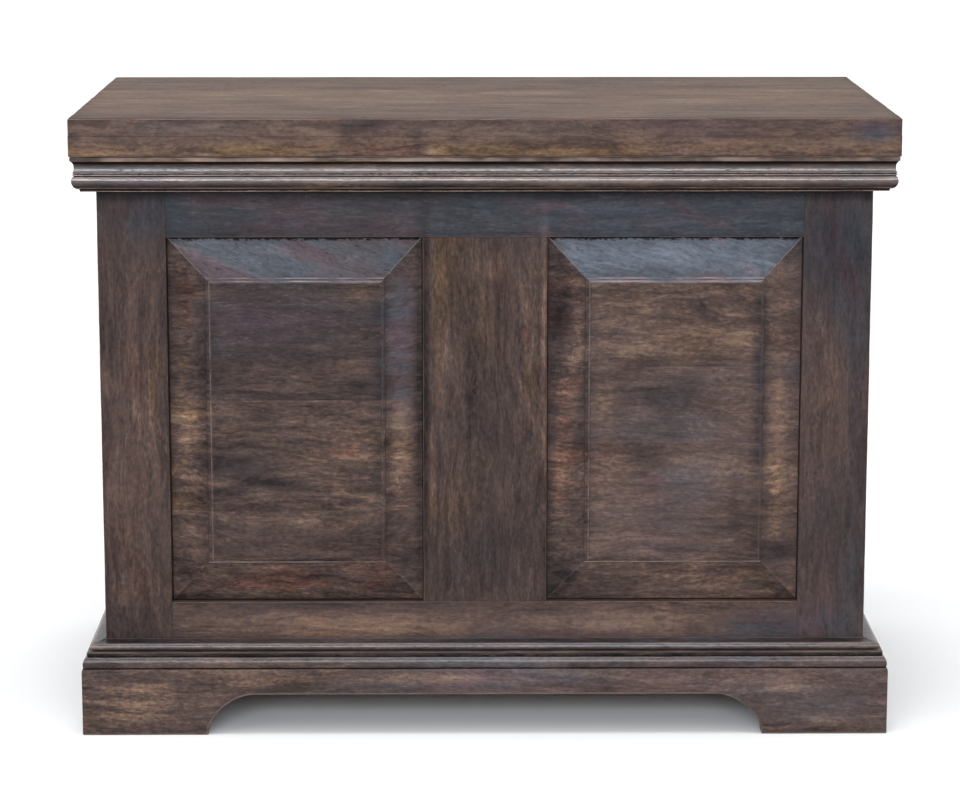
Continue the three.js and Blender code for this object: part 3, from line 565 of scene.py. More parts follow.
def turns(path):
    """The turn at each point of a closed path, positive where it bulges."""
    before, after = path - np.roll(path, 1, 0), np.roll(path, -1, 0) - path
    cross = before[:, 0] * after[:, 1] - before[:, 1] * after[:, 0]
    return np.degrees(np.arctan2(cross, (before * after).sum(1)))


def soften(path, reach, fixed):
    """Rounds the sharp corners of a closed profile. fixed are points that stay sharp."""
    out = []
    bend = turns(path)
    for i, point in enumerate(path):
        back, on = path[i - 1] - point, path[(i + 1) % len(path)] - point
        if abs(bend[i]) < 25 or any(np.allclose(point, f) for f in fixed):
            out.append(point)
            continue
        a = point + back * min(0.45, reach / np.linalg.norm(back))
        b = point + on * min(0.45, reach / np.linalg.norm(on))
        out += [a, (a + 2 * point + b) / 4, b]
    return np.array(out)


def wood_marks(path):
    """How far each point of a profile is from its nearest edge, and how much stain and painted shade it
    gets near the profile's troughs.
    """
    bend = turns(path)
    spread = bend + 0.5 * (np.roll(bend, 1) + np.roll(bend, -1))
    crest, trough = path[spread > 24], path[spread < -24]
    distance = lambda set_: np.min(np.linalg.norm(path[:, None] - set_[None], axis=2), 1)  # noqa: E731
    edge = distance(crest) if len(crest) else np.full(len(path), FAR_FROM_EDGE)
    stain_and_shade = 0.8 * np.exp(-distance(trough) / 0.5) if len(trough) else np.zeros(len(path))
    return edge, stain_and_shade


MOULDING_CELL = 11
MOULDING_LEAN = 0.3  # degrees
PROFILE_EASE = 0.35  # rounding of a profile's sharp corners
FOOT_EASE = 1.3  # and of a plinth board's lower edge
ARCH_FULLNESS = 0.47


def loft(name, side, rings, middle, *, body="carcass", slot="base_wood", finish=((0, 0, 0, 0),)):
    """A closed piece through rings of (s, projection, z), capped at both ends. finish has rows of
    z, lighter, warmer and how polished."""
    rings = np.array(rings)
    count, around, _ = rings.shape
    points = rings.reshape(-1, 3).copy()
    edge, stain_and_shade = (np.concatenate(m) for m in zip(*(wood_marks(ring[:, 1:]) for ring in rings)))
    seed = seed_of(name)
    outer = points[:, 1] > 3
    sunk = 0.11 * (1 + waves(points, 55, seed)) + 0.055 * (1 + waves(points, 13, seed + 1))
    points[:, 1] -= np.where(outer, sunk, 0)
    points[:, 2] += np.where(outer, 0.12 * waves(points, 70, seed + 2), 0)
    points[:, 2] = np.clip(points[:, 2], rings[..., 2].min(), rings[..., 2].max())
    ids = np.arange(count * around).reshape(count, around)
    faces = [*tube(ids), ids[0, ::-1].tolist(), ids[-1].tolist()]
    local = points * [1, -1, 1]
    heights, *values = np.array(finish, float).T
    finish = [np.interp(rings[..., 2].ravel(), heights, value) for value in values]
    world = turned(local, side, middle)
    return make(name, world, outwards(world, faces), body=body, slot=slot, local=local,
                groups=[(X, 0, 0, 0, MOULDING_LEAN)], edge=edge, stain_and_shade=stain_and_shade, finish=finish,
                smooth=38)


def end_shifts(count, mitres):
    """How much of its projection each ring moves along, for mitres of 0 or 1 at the two ends."""
    return [-mitres[0], *[0] * (count - 2), mitres[1]]


def moulding(name, side, profile, length, middle, mitres, **rest):
    """A moulding that has one profile all along."""
    path = soften(profile, PROFILE_EASE, [p for p in profile if p[0] < 2])
    stops = np.linspace(-length / 2, length / 2, round(length / MOULDING_CELL) + 1)
    rings = [[(s + shift * p, p, z) for p, z in path]
             for s, shift in zip(stops, end_shifts(len(stops), mitres))]
    return loft(name, side, rings, middle, **rest)


def plinth_board(name, side, length, middle, mitres, upper, face, back, arch, **rest):
    """A plinth board: its foot line follows the arch, and upper is its profile above the face.
    arch is (half width, rise, sweep, middle)."""
    half, rise, sweep, centre = arch
    fullness, ease = ARCH_FULLNESS, FOOT_EASE
    clear = half + 2.4 * ease
    level = [(s, 0.0, 0.0, 1.0) for s in np.linspace(-length / 2, centre - clear, 12)]
    flat = half - sweep
    corner = bezier((half, 0), (half, fullness * rise), (flat + fullness * sweep, rise), (flat, rise),
                    16)
    corner = np.concatenate([[(half, 0)], corner])
    slope = np.gradient(corner, axis=0)
    normal = np.stack([slope[:, 1], -slope[:, 0]], 1)
    normal /= np.linalg.norm(normal, axis=1)[:, None]
    normal[0] = (1, 1)
    keep = [0] + [i for i in range(1, len(corner)) if corner[i, 1] > 2 * ease]
    bend = [(*corner[i], *normal[i]) for i in keep]
    left = [(centre - s, z, -u, v) for s, z, u, v in bend]
    count = round(2 * flat / MOULDING_CELL)
    top = [(s + centre, rise, 0.0, 1.0) for s in np.linspace(-flat, flat, count + 1)[1:-1]]
    right = [(centre + s, z, u, v) for s, z, u, v in bend][::-1]
    tail = [(s, 0.0, 0.0, 1.0) for s in np.linspace(centre + clear, length / 2, 12)]
    line = level + left + top + right + tail
    fixed = [(face, 60.0), (back, upper[-1][1]), (back, 60.0)]
    path = soften(np.array([fixed[0], *upper, *fixed[1:]]), PROFILE_EASE, fixed)[1:-1]
    rows = np.linspace(0, 1, 9)[1:]
    rings = []
    for (s, z, u, v), shift in zip(line, end_shifts(len(line), mitres)):
        ring = [(s + shift * back, back, z), (s + shift * (face - ease), face - ease, z)]
        for angle in (30, 60, 90):
            out = ease * (1 - math.cos(math.radians(angle)))
            p = face - ease + ease * math.sin(math.radians(angle))
            ring.append((s + u * out + shift * p, p, z + v * out))
        s_face, _, z_face = ring[-1]
        first = path[0, 1]
        ring += [(s_face, face, z_face + (first - z_face) * t) for t in rows[:-1]]
        column = s_face - shift * face
        ring += [(column + shift * p, p, h) for p, h in path]
        rings.append(ring)
    return loft(name, side, rings, middle, **rest)


# ---- materials


class Nodes:
    """The node tree of a new material or world, with short ways to add to it. Wherever a value is
    given, a socket is linked, a number or colour is set, and None is left alone."""

    def __init__(self, owner):
        owner.use_nodes = True
        self.owner, self.tree = owner, owner.node_tree

    def link(self, value, socket):
        if isinstance(value, bpy.types.NodeSocket):
            self.tree.links.new(value, socket)
        elif value is not None:
            socket.default_value = value

    def fill(self, made, **values):
        """Fills inputs by name, with _ for a space."""
        for name, value in values.items():
            self.link(value, made.inputs[name.replace("_", " ")])

    def node(self, kind, *values, **settings):
        made = self.tree.nodes.new("ShaderNode" + kind)
        for key, value in settings.items():
            setattr(made, key, value)
        for socket, value in zip(made.inputs, values):
            self.link(value, socket)
        return made

    def maths(self, operation, *values):
        return self.node("Math", *values, operation=operation).outputs[0]

    plus = partialmethod(maths, "ADD")
    minus = partialmethod(maths, "SUBTRACT")
    times = partialmethod(maths, "MULTIPLY")
    times_plus = partialmethod(maths, "MULTIPLY_ADD")

    def ranged(self, value, a, b, c=0.0, d=1.0):
        """A smooth step: c where value is a, d where it is b."""
        return self.node("MapRange", value, a, b, c, d, interpolation_type="SMOOTHSTEP").outputs[0]

    def mixed(self, amount, a, b, blend="MIX"):
        made = self.node("Mix", data_type="RGBA", blend_type=blend)
        for index, value in ((0, amount), (6, a), (7, b)):
            self.link(value, made.inputs[index])
        return made.outputs[2]

    def attribute(self, name, output="Vector"):
        return self.node("Attribute", attribute_name=name).outputs[output]

    def noise(self, place, scale, detail=3.0, rough=0.55, distort=0.0):
        """Noise with its own scale along each axis of the wood."""
        scaled = self.node("VectorMath", place, scale, operation="MULTIPLY").outputs[0]
        made = self.node("TexNoise")
        self.fill(made, Vector=scaled, Scale=1, Detail=detail, Roughness=rough, Distortion=distort)
        return made.outputs["Fac"]

    def finish(self, colour, roughness, height, strength, distance, **more):
        """Fills the material's shader, with a bump of height as deep as distance."""
        bump = self.node("Bump")
        self.fill(bump, Strength=strength, Distance=distance, Height=height)
        self.fill(self.tree.nodes["Principled BSDF"], Base_Color=colour, Roughness=roughness,
                  Normal=bump.outputs[0], **more)
        return self.owner


def srgb(code, alpha=1.0):
    parts = [int(code[i:i + 2], 16) / 255 for i in (0, 2, 4)]
    return (*[c / 12.92 if c <= 0.04045 else ((c + 0.055) / 1.055) ** 2.4 for c in parts], alpha)


POLISH = 0.45  # how much glossier the mouldings' rounds are
POLISHED_ROUGH = 0.27  # and how rough they are
GOLDEN, REDDISH = "785a3b", "6e4335"  # the rubbed patches
# The bluish stain also paints the reflection on the high bevels and the mouldings' bright bands.
BLUISH, PLUM = "5a5f69", "64535a"  # the stain beside them
# The recess colour is stain and painted shade.
PORE, STAIN_AND_SHADE_COLOUR = "1a1416", "120d0d"  # the stain in the pores and in the recesses


def wood(name, colours, rough, worn_colour, wear=1.0, blotch=1.0, figured=1.0, fine=1.0, contrast=1.0,
         tint=1.0, red=0.0, gloss=0.5):
    """Stained and rubbed hardwood. colours run from the darkest stain to the bare rub. The numbers
    say how strong each effect is: wear on the edges, blotches, figure, fine grain, the grain's
    contrast, the patches' tint, how far that leans to red, and how glossy the wood is."""
    t = Nodes(bpy.data.materials.new(name))
    grain, sheen = t.attribute("grain"), t.attribute("sheen", "Fac")
    to_edge, recess_stain_and_shade, edge_wear = t.node("SeparateXYZ", t.attribute("marks")).outputs
    lighter, warmer, redder = t.node("SeparateXYZ", t.attribute("tone")).outputs

    # Figure wanders across the grain.
    sway = t.times(t.minus(t.noise(grain, (5, 14, 14), 3), 0.5), 0.035)
    shift = t.node("CombineXYZ", 0.0, sway, sway).outputs[0]
    wood_place = t.node("VectorMath", grain, shift, operation="ADD").outputs[0]

    layers = [
        (0.40 * blotch, t.noise(wood_place, (8, 15, 15), 3, 0.6, 0.5)),
        (0.50 * figured, t.noise(wood_place, (6, 50, 50), 3, 0.6, 0.5)),
        (0.50, t.noise(wood_place, (22, 140, 140), 3, 0.6, 0.6)),
        (0.45 * fine, t.noise(wood_place, (150, 300, 300), 3, 0.65)),
        (0.20 * fine, t.noise(wood_place, (70, 620, 620), 2, 0.6)),
    ]
    patches, figure, streaks, mottle, fibres = (layer for _, layer in layers)
    flecks = t.noise(wood_place, (110, 520, 520), 1, 0.5)
    depth = -0.5 * sum(weight for weight, _ in layers)
    for weight, layer in layers:
        depth = t.times_plus(layer, weight, depth)
    # Where it is rubbed warm the grain shows, and where the stain is bluish it is even.
    warm = t.noise(wood_place, (5, 13, 13), 2)
    warm = t.plus(t.ranged(warm, 0.3, 0.7, -0.45 * tint, 0.45 * tint), warmer)
    clear = t.ranged(warm, -1.2, 1.2, 0.6 * contrast, 1.25 * contrast)
    value = t.times_plus(depth, clear, t.plus(lighter, 0.5))

    # Stain gathers near the edges, then wears off on the edge itself.
    edge_noise = t.noise(grain, (22, 60, 60), 3, 0.6)
    rim = t.times(t.ranged(to_edge, 0.016, 0.0), t.ranged(edge_noise, 0.3, 0.7, 0.0, 0.09))
    value = t.minus(value, rim)

    ramp = t.node("ValToRGB", value)
    stops = ramp.color_ramp.elements
    places = np.linspace(0.12, 0.88, len(colours))
    stops[0].position, stops[0].color = places[0], srgb(colours[0])
    stops[1].position, stops[1].color = places[-1], srgb(colours[-1])
    for place, code in zip(places[1:-1], colours[1:-1]):
        stops.new(place).color = srgb(code)
    colour = ramp.outputs[0]

    # Rubbed patches run from golden to red, and the stain beside them is bluish. Pushed far to the cool
    # side, as on the high bevels and the mouldings' bright bands, the bluish mix is a painted reflection.
    hue = t.ranged(t.noise(wood_place, (9, 24, 24), 2, 0.6), 0.35, 0.65, red - 0.5, red + 0.5)
    hue = t.plus(hue, redder)
    gold = t.times(t.ranged(warm, -0.2, 1.0, 0.0, 0.75), t.ranged(hue, 0.3, -0.7))
    reds = t.times(t.ranged(warm, -0.5, 1.0, 0.0, 0.75), t.ranged(hue, 0.0, 1.0))
    colour = t.mixed(t.times(gold, 0.95), colour, srgb(GOLDEN), "COLOR")
    colour = t.mixed(t.times(reds, 0.8), colour, srgb(REDDISH), "COLOR")
    stain = t.mixed(t.ranged(hue, -0.4, 0.4), srgb(BLUISH), srgb(PLUM))
    colour = t.mixed(t.ranged(warm, 0.0, -2.4, 0.0, 0.95), colour, stain, "COLOR")

    # Dark pores, and small bright rubs between them.
    pores = t.ranged(flecks, 0.36, 0.27)
    colour = t.mixed(t.times(pores, 0.3), colour, srgb(PORE))
    shine = t.times(t.ranged(flecks, 0.6, 0.72), t.ranged(patches, 0.4, 0.62))
    colour = t.mixed(t.times(shine, 0.07), colour, worn_colour)

    # Edges worn bare, and stain and painted shade in the recesses.
    bare = t.ranged(to_edge, 0.0012, 0.0001)
    bare = t.times(bare, t.ranged(edge_noise, 0.3, 0.75, 0.08, 0.5 * wear))
    bare = t.times(bare, edge_wear)
    colour = t.mixed(bare, colour, worn_colour)
    ragged = t.times_plus(edge_noise, 0.6, t.minus(recess_stain_and_shade, 0.8))
    ragged = t.times_plus(mottle, 1.6, t.minus(ragged, 0.3))
    dark = t.times(t.ranged(ragged, 0.1, 0.4, 0.0, 0.92), t.ranged(recess_stain_and_shade, 0.03, 0.2))
    colour = t.mixed(dark, colour, srgb(STAIN_AND_SHADE_COLOUR))

    roughness = t.times_plus(streaks, 0.16, rough - 0.08)
    roughness = t.times_plus(pores, 0.15, roughness)
    roughness = t.times_plus(sheen, POLISHED_ROUGH - rough, roughness)
    height = t.times_plus(fibres, 0.6, streaks)
    height = t.times_plus(mottle, 0.8, height)
    height = t.times_plus(pores, -0.7, height)
    height = t.plus(figure, height)
    shiny = t.times_plus(sheen, POLISH, gloss)
    shiny = t.times(shiny, t.times_plus(dark, -0.9, 1.0))
    return t.finish(colour, roughness, height, 0.36, 0.0005, Specular_IOR_Level=shiny)


def metal(name):
    """Aged brass-plated steel: brown with tarnish in soft patches, finely scratched."""
    t = Nodes(bpy.data.materials.new(name))
    place = t.node("TexCoord").outputs["Object"]
    tarnish = t.noise(place, (60, 60, 60), 5, 0.65)
    scratch = t.noise(place, (900, 60, 900), 2, 0.5)
    colour = t.mixed(t.ranged(tarnish, 0.35, 0.65), srgb("4a3b27"), srgb("a98a52"))
    rubbed = t.noise(place, (240, 240, 240), 4, 0.6)
    colour = t.mixed(t.ranged(rubbed, 0.52, 0.72, 0.0, 0.5), colour, srgb("c9ab6e"))
    colour = t.mixed(t.ranged(scratch, 0.62, 0.7, 0.0, 0.4), colour, srgb("2e2519"))
    rough = t.times_plus(tarnish, -0.25, 0.52)
    rough = t.times_plus(scratch, 0.12, rough)
    return t.finish(colour, rough, t.plus(tarnish, scratch), 0.25, 0.0002, Metallic=0.9)


# The stain of the box, of the lid, and of the rougher parts inside.
STAIN = ["120d0d", "241b1b", "392e2b", "51403a", "6f594b", "947a62"]
LID_STAIN = ["181212", "2b2220", "463630", "634f43", "846b5a", "a48871"]
INNER_STAIN = ["35261c", "4d3829", "6b5039", "83664a", "997a5a", "ad9170"]
MATERIALS = {
    "lid_wood": wood("lid_wood", LID_STAIN, 0.58, srgb("b49a8c"), contrast=0.75, tint=0.5, gloss=0.1),
    "frame_wood": wood("frame_wood", STAIN, 0.40, srgb("a88c74"), wear=0.6, blotch=0.5, figured=0.55,
                       contrast=0.82, red=0.1, gloss=0.08),
    "panel_wood": wood("panel_wood", STAIN, 0.38, srgb("b3a29b"), wear=1.3, figured=0.9, red=0.1,
                       gloss=0.1),
    "base_wood": wood("base_wood", STAIN, 0.40, srgb("a08c80"), wear=0.6, fine=1.3, red=-0.3,
                      gloss=0.12),
    "inner_wood": wood("inner_wood", INNER_STAIN, 0.6, srgb("b89c78"), wear=0.4, blotch=0.6, gloss=0.2),
    "hardware": metal("hardware"),
}


# ---- the four frames

PIN = "hinge_left_pin"
HINGE_AXIS = (low(PIN) + high(PIN))[Y:] / 2
LID_LOW = low("lid_edging_front")[Z]
# A hinge's mortise: how far its floor is from the axis, its room round the leaf, and how thick the
# zone is over which its walls rise.
MORTISE_DEPTH, MORTISE_ROOM, MORTISE_WALL = 2.6, 0.6, 0.3


def frame_boards(word):
    """The stiles, rails and muntin of the front or the back."""
    left, right, muntin = f"{word}_left_stile", f"{word}_right_stile", f"{word}_muntin"
    top, bottom = f"{word}_top_rail", f"{word}_bottom_rail"
    cell = 7 if word == "front" else 20
    for name in (left, right):
        inner = "+x" if (name == left) == (word == "front") else "-x"
        board(name, Z, "frame_wood", joints=inner + "-z", arris=1.3, cell=cell)
    for name in (top, bottom):
        hinged = name == "back_top_rail"
        board(name, X, "frame_wood", span=between(left, right, X), joints="-x+x",
              shape=hinge_mortise(-1) if hinged else None, cell=8 if hinged else cell)
    board(muntin, Z, "frame_wood", span=between(bottom, top, Z), joints="-z+z", cell=cell)


def hinge_mortise(up):
    """What lowers the top of the back rail, or raises the underside of the lid's edging, at the
    hinges. The wood within reach of the mortise's floor is squeezed."""
    part, reach, surface = ("lid", 10, LID_LOW) if up > 0 else ("box", 14, RIM)
    floor = HINGE_AXIS[1] + up * MORTISE_DEPTH
    depth = up * (floor - surface)

    def shape(points):
        out = points.copy()
        for side in ("left", "right"):
            leaf = f"hinge_{side}_{part}_leaf"
            a, b = low(leaf) - MORTISE_ROOM, high(leaf) + MORTISE_ROOM
            inside = np.clip((points[:, X] - a[X]) / MORTISE_WALL, 0, 1)
            inside *= np.clip((b[X] - points[:, X]) / MORTISE_WALL, 0, 1)
            inside *= np.clip((points[:, Y] - a[Y]) / MORTISE_WALL, 0, 1)
            near = reach - up * (points[:, Z] - floor)
            target = floor + up * (reach - np.minimum(near * reach / (depth + reach), reach))
            moved = np.where(near > 0, target, points[:, Z])
            out[:, Z] += inside * (moved - points[:, Z])
        return out

    return shape


frame_boards("front")
frame_boards("back")

# In each last list, the high bevel's lighter, bluer tone is a painted reflection.
panel("front_left_panel", "front", (254, 381), [(-0.01, 0.0), (0.0, 0.2), (-0.08, -0.2)],
      [(0.04, 0.4, 0.5), (0.03, 0.0, -0.5), (-0.07, 0.8, 2), (0.13, -1.6, 14)])
panel("front_right_panel", "front", (332, 419), [(0.04, -0.1), (0.02, -0.4), (0.03, -0.15)],
      [(-0.08, 0.2, 0.5), (0.01, -0.35, 0.5), (-0.02, 0.4, -1), (0.13, -2.4, 12)])
for name in ("back_left_panel", "back_right_panel"):
    panel(name, "back", (292, 431), [(0.0, 0.1), (-0.05, 0.0), (0.03, 0.0)])

for side in ("left", "right"):
    front, rear = f"{side}_side_front_stile", f"{side}_side_rear_stile"
    board(front, Z, "frame_wood", cell=16, joints="-y-z")
    board(rear, Z, "frame_wood", cell=16, joints="+y-z")
    for word in ("top", "bottom"):
        board(f"{side}_side_{word}_rail", Y, "frame_wood", span=between(front, rear, Y), cell=16,
              joints="-y+y")
    # The high bevel's lighter, bluer tone here is a painted reflection too.
    panel(f"{side}_side_panel", side, (248, 366), [(0.0, 0.1), (0.06, 0.2), (-0.05, -0.1)],
          [(0.0, 0.2, 0.5), (0.02, -0.1, 0.5), (0.0, 0.3, 1), (0.04, -0.8, -8)])


# ---- floor and corner blocks

for end in ("front", "rear"):
    board(f"floor_cleat_{end}", X, "inner_wood", cell=25)
board("floor_panel", X, "inner_wood", cell=20, arris=0.6)
for end in ("front", "rear"):
    for side in ("left", "right"):
        board(f"corner_block_{end}_{side}", Z, "inner_wood", cell=14)


# ---- plinth, cap and cornice

PLINTH_PROUD = FACE["front"] - low("plinth_front")[Y]
PLINTH_UPPER = outline(
    (PLINTH_PROUD, 72), ((PLINTH_PROUD, 74.6), (25.1, 76.2), (24.4, 76.6)), (23.6, 77.2), (23.6, 78),
    ((25, 80.4), (24.4, 87.6), (20.6, 89.6)), (19.4, 89.8), (19.4, 90.8),
    (19.8, high("plinth_front")[Z]),
)
CAP = outline(
    (0.3, 95.5), (11.5, 95.5), (11.5, 97.3), (16, 97.4), ((17.4, 97.8), (17.2, 103), (14, 104.2)),
    ((8.7, 104.7), (4.7, 105.5), (2, 106.8)), (0.3, high("base_cap_front")[Z]),
)
CORNICE_RISE = high("cornice_front")[Z] - FOOT
CORNICE = [0, FOOT] + outline(
    (1.2, 0), (15.6, 0), (16, 2.8), (17, 3), ((23.4, 3.6), (26.2, 13.2), (22.8, 17)), (21.6, 17.2),
    (21.6, 18.3), (23, 18.5), (23, 19.6), (21.8, 19.8), (21.8, 20.6), (23, 20.9),
    ((21.0, 23), (20.0, 31.6), (24.4, 34.2)), (25.4, 34.6), (25.4, CORNICE_RISE), (1.2, CORNICE_RISE),
)
# How the mouldings are shaded and finished at each height: lighter, warmer, how polished. The
# lighter, bluer bands on the tops of the rounds and in the cornice's lower cove are a painted
# highlight; the darker undersides of the rounds, the cornice's upper cove, the fillets and the line at
# the cornice's top are painted shade, and the cap's darker, bluer top is a painted reflection of the
# dark body. Elsewhere the warmth, and the polish throughout, are the finish's own.
PLINTH_SHADING_AND_FINISH = (
    (76.0, 0.0, 0.15, 0.0), (78.5, -0.05, 0.1, 0.0), (84.0, -0.05, -0.1, 0.15), (86.5, 0.02, -0.3, 1.0),
    (89.6, 0.0, -0.3, 1.0), (90.5, -0.16, 0.3, 0.0), (96.0, -0.16, 0.3, 0.0),
)
CAP_SHADING_AND_FINISH = (
    (95.5, -0.1, 0.2, 0.0), (97.4, -0.1, 0.2, 0.0), (98.6, -0.02, 0.0, 0.2), (100.6, 0.02, -0.4, 1.0),
    (104.0, 0.0, -0.5, 1.0), (104.7, -0.1, -1.0, 0.4), (107.0, -0.1, -1.0, 0.1),
)
CORNICE_SHADING_AND_FINISH = tuple((FOOT + height, *values) for height, *values in (
    (0.0, -0.1, 0.3, 0.0), (1.0, 0.0, 0.3, 0.3), (2.8, 0.0, 0.3, 0.3), (3.0, -0.26, 0.6, 0.0),
    (7.5, -0.16, 0.6, 0.0), (11.0, -0.06, -0.2, 0.7), (13.0, 0.02, -1.0, 1.2),
    (17.0, 0.02, -1.0, 1.2), (20.6, 0.0, -0.8, 1.0), (24.0, 0.06, -1.0, 1.2),
    (27.5, -0.06, -0.2, 0.7), (30.5, -0.22, 0.6, 0.0), (34.4, -0.26, 0.8, 0.0),
    (34.8, -0.1, 1.2, 0.0), (37.6, -0.1, 1.2, 0.0), (38.6, -0.4, 0.5, 0.0),
))
BODY_WIDTH = FACE["right"] - FACE["left"]
JOIN = 0.3  # between a plinth board's back and the frame, and where a side's mouldings start
SIDE_LENGTH = high("plinth_left")[Y] - FACE["front"] - JOIN
SIDE_RUN_MIDDLE = high("plinth_left")[Y] - SIDE_LENGTH / 2
ARCH_FOOT, ARCH_RISE, ARCH_SWEEP = 141.5, 47, 53  # a foot's width, and the arch's rise and bend
BACK_RISE, BACK_EDGE = 28, 4  # the back's arch, and the height of its topmost row of cells


def base_and_cornice(side, length, middle, mitres, centre):
    """The plinth board, the cap over it and the cornice of a side. centre is the arch's middle."""
    half = (length + sum(mitres) * PLINTH_PROUD) / 2 - ARCH_FOOT
    plinth_board(f"plinth_{side}", side, length, middle, mitres, PLINTH_UPPER, PLINTH_PROUD, JOIN,
                 (half, ARCH_RISE, ARCH_SWEEP, centre), finish=PLINTH_SHADING_AND_FINISH)
    moulding(f"base_cap_{side}", side, CAP, length, middle, mitres, finish=CAP_SHADING_AND_FINISH)
    moulding(f"cornice_{side}", side, CORNICE, length, middle, mitres, body="lid", slot="lid_wood",
             finish=CORNICE_SHADING_AND_FINISH)


base_and_cornice("front", BODY_WIDTH, 0, (1, 1), 0)
base_and_cornice("left", SIDE_LENGTH, SIDE_RUN_MIDDLE, (0, 1), PLINTH_PROUD / 2)
base_and_cornice("right", SIDE_LENGTH, SIDE_RUN_MIDDLE, (1, 0), -PLINTH_PROUD / 2)

back_low, back_high = low("plinth_back"), high("plinth_back")
back_length = back_high[X] - back_low[X]
plinth_board("plinth_back", "back", back_length, 0, (0, 0),
             [(0, back_high[Z] - BACK_EDGE), (0, back_high[Z])], 0, -THICK,
             (back_length / 2 - ARCH_FOOT + PLINTH_PROUD, BACK_RISE, BACK_RISE, 0))


# ---- lid

SEAM = 0.14  # closes most of the gap between the lid's boards and its edging
for name, joints in (("front", "-z+y"), ("middle", "-z+y-y"), ("rear", "-z-y")):
    board(f"lid_board_{name}", X, "lid_wood", "lid", stretch=(SEAM, 0), joints=joints, arris=3.0,
          cell=9, wear=0.5)
board("lid_edging_front", X, "lid_wood", "lid", stretch=(0, SEAM), joints="+z", arris=1.8, cell=9,
      kin="lid_board_front")
board("lid_edging_rear", X, "lid_wood", "lid", joints="+z", arris=1.8, cell=8, shape=hinge_mortise(1))
for side in ("left", "right"):
    board(f"lid_edging_{side}", Y, "lid_wood", "lid", joints="+z-y+y", arris=1.8, cell=16)
    board(f"lid_batten_{side}", Y, "inner_wood", "lid", cell=20, arris=1.8)


# ---- hinges, stay and screws

# What eases the edges of the metal, in metres, and shades its flats evenly.
EASED = (
    ("WELD", {"merge_threshold": 0.00002}),
    ("BEVEL", {"width": 0.0003, "segments": 2, "limit_method": "ANGLE", "angle_limit": math.radians(35)}),
    ("WEIGHTED_NORMAL", {"weight": 100, "keep_sharp": True}),
)
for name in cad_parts:
    if not name.startswith(("hinge_", "stay_")):
        continue
    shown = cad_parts[name]
    shown.data.materials.clear()
    shown.data.materials.append(MATERIALS["hardware"])
    for kind, settings in EASED:
        modifier = shown.modifiers.new(kind.lower(), kind)
        for key, value in settings.items():
            setattr(modifier, key, value)


def screw(place, facing, radius, proud, length):
    """The points and faces of a slotted screw at place, its head facing along a unit vector. The
    head's grid, the slot and the shank are in shares of its radius."""
    slot, depth = 0.14, 0.4  # half the slot's width, and how deep it is
    columns = [-0.98, -0.9, -0.7, -0.4, -slot - 0.02, -slot, slot, slot + 0.02, 0.4, 0.7, 0.9, 0.98]
    rows = np.array([-1, -0.94, -0.8, -0.5, 0, 0.5, 0.8, 0.94, 1])
    ids = np.arange(len(columns) * len(rows)).reshape(len(columns), len(rows))
    left, right = ids.size, ids.size + 1
    flat = np.array([(c, t * math.sqrt(1 - c * c)) for c in columns for t in rows] + [(-1, 0), (1, 0)])
    up = proud * (1 - np.linalg.norm(flat, axis=1) ** 4)
    up -= np.where(np.abs(flat[:, 0]) <= slot, depth * radius, 0.0)
    faces = quads(ids)[:, ::-1].tolist()
    faces += [[left, a, b] for a, b in zip(ids[0], ids[0, 1:])]
    faces += [[right, b, a] for a, b in zip(ids[-1], ids[-1, 1:])]
    rim = np.array([left, *ids[:, -1], right, *ids[::-1, 0]])
    shank = np.arange(2 * len(rim)).reshape(2, -1) + len(flat)
    faces += [*tube(np.stack([rim, *shank])), shank[-1].tolist()]
    points = [np.column_stack([flat * radius, up])]
    for share, down in ((0.55, 0.7 * radius), (0.5, length)):
        points.append(np.column_stack([flat[rim] * radius * share, np.full(len(rim), -down)]))
    facing = np.array(facing, float)
    across = np.array([0.6, 0.8, 0.0]) if facing[2] else np.array([0.0, 0.6, 0.8])
    turn = np.array([across, np.cross(facing, across), facing])
    return np.array(place) + np.concatenate(points) @ turn, faces


def screws(name, body, places):
    """One piece from a list of (place, facing, radius, proud, length)."""
    points, faces = [], []
    for place in places:
        made, sides = screw(*place)
        start = sum(len(p) for p in points)
        faces += [[start + i for i in face] for face in outwards(made, sides)]
        points.append(made)
    new_piece(new_mesh(name, np.concatenate(points), faces), body, "hardware", 30)


# A hinge leaf's distance from the axis and its width, and how deep its screws are sunk in it.
LEAF_GAP, LEAF_WIDTH, LEAF_SUNK = 0.3, 20, 0.15
# The bracket's screws: their distance from its inner side, their height, and half their spacing.
BRACKET_HOLE, BRACKET_UNDER, BRACKET_SPREAD = 7, 677.2, 8
FLANGE_FACE, FLANGE_SPREAD = 403.7, 7.04  # the stud's flange: its face, and half the spacing
# The radius of a screw's head, how far it stands proud, and its length.
HINGE_SCREW, BATTEN_SCREW = (2.0, 0.0, 12), (3.6, 0.25, 12)
BRACKET_SCREW, FLANGE_SCREW = (2.8, 1.1, 9), (2.2, 0.8, 7)

fixings = {"carcass": [], "lid": []}
for side in ("left", "right"):
    for part, body, up in (("box", "carcass", 1), ("lid", "lid", -1)):
        leaf = f"hinge_{side}_{part}_leaf"
        middle_x, half = (low(leaf) + high(leaf))[X] / 2, (high(leaf) - low(leaf))[X] / 2
        z = HINGE_AXIS[1] - up * (LEAF_GAP + LEAF_SUNK)
        for share, across in ((-0.66, 0.35), (0.0, 0.62), (0.66, 0.35)):
            place = (middle_x + share * half, low(leaf)[Y] + LEAF_WIDTH * across, z)
            fixings[body].append((place, (0, 0, up), *HINGE_SCREW))
    a, b = low(f"lid_batten_{side}"), high(f"lid_batten_{side}")
    for share in (0.08, 0.36, 0.64, 0.92):
        place = ((a[X] + b[X]) / 2, a[Y] + share * (b[Y] - a[Y]), a[Z] + 0.1)
        fixings["lid"].append((place, (0, 0, -1), *BATTEN_SCREW))
foot, flange = "stay_lid_bracket", "stay_stud"
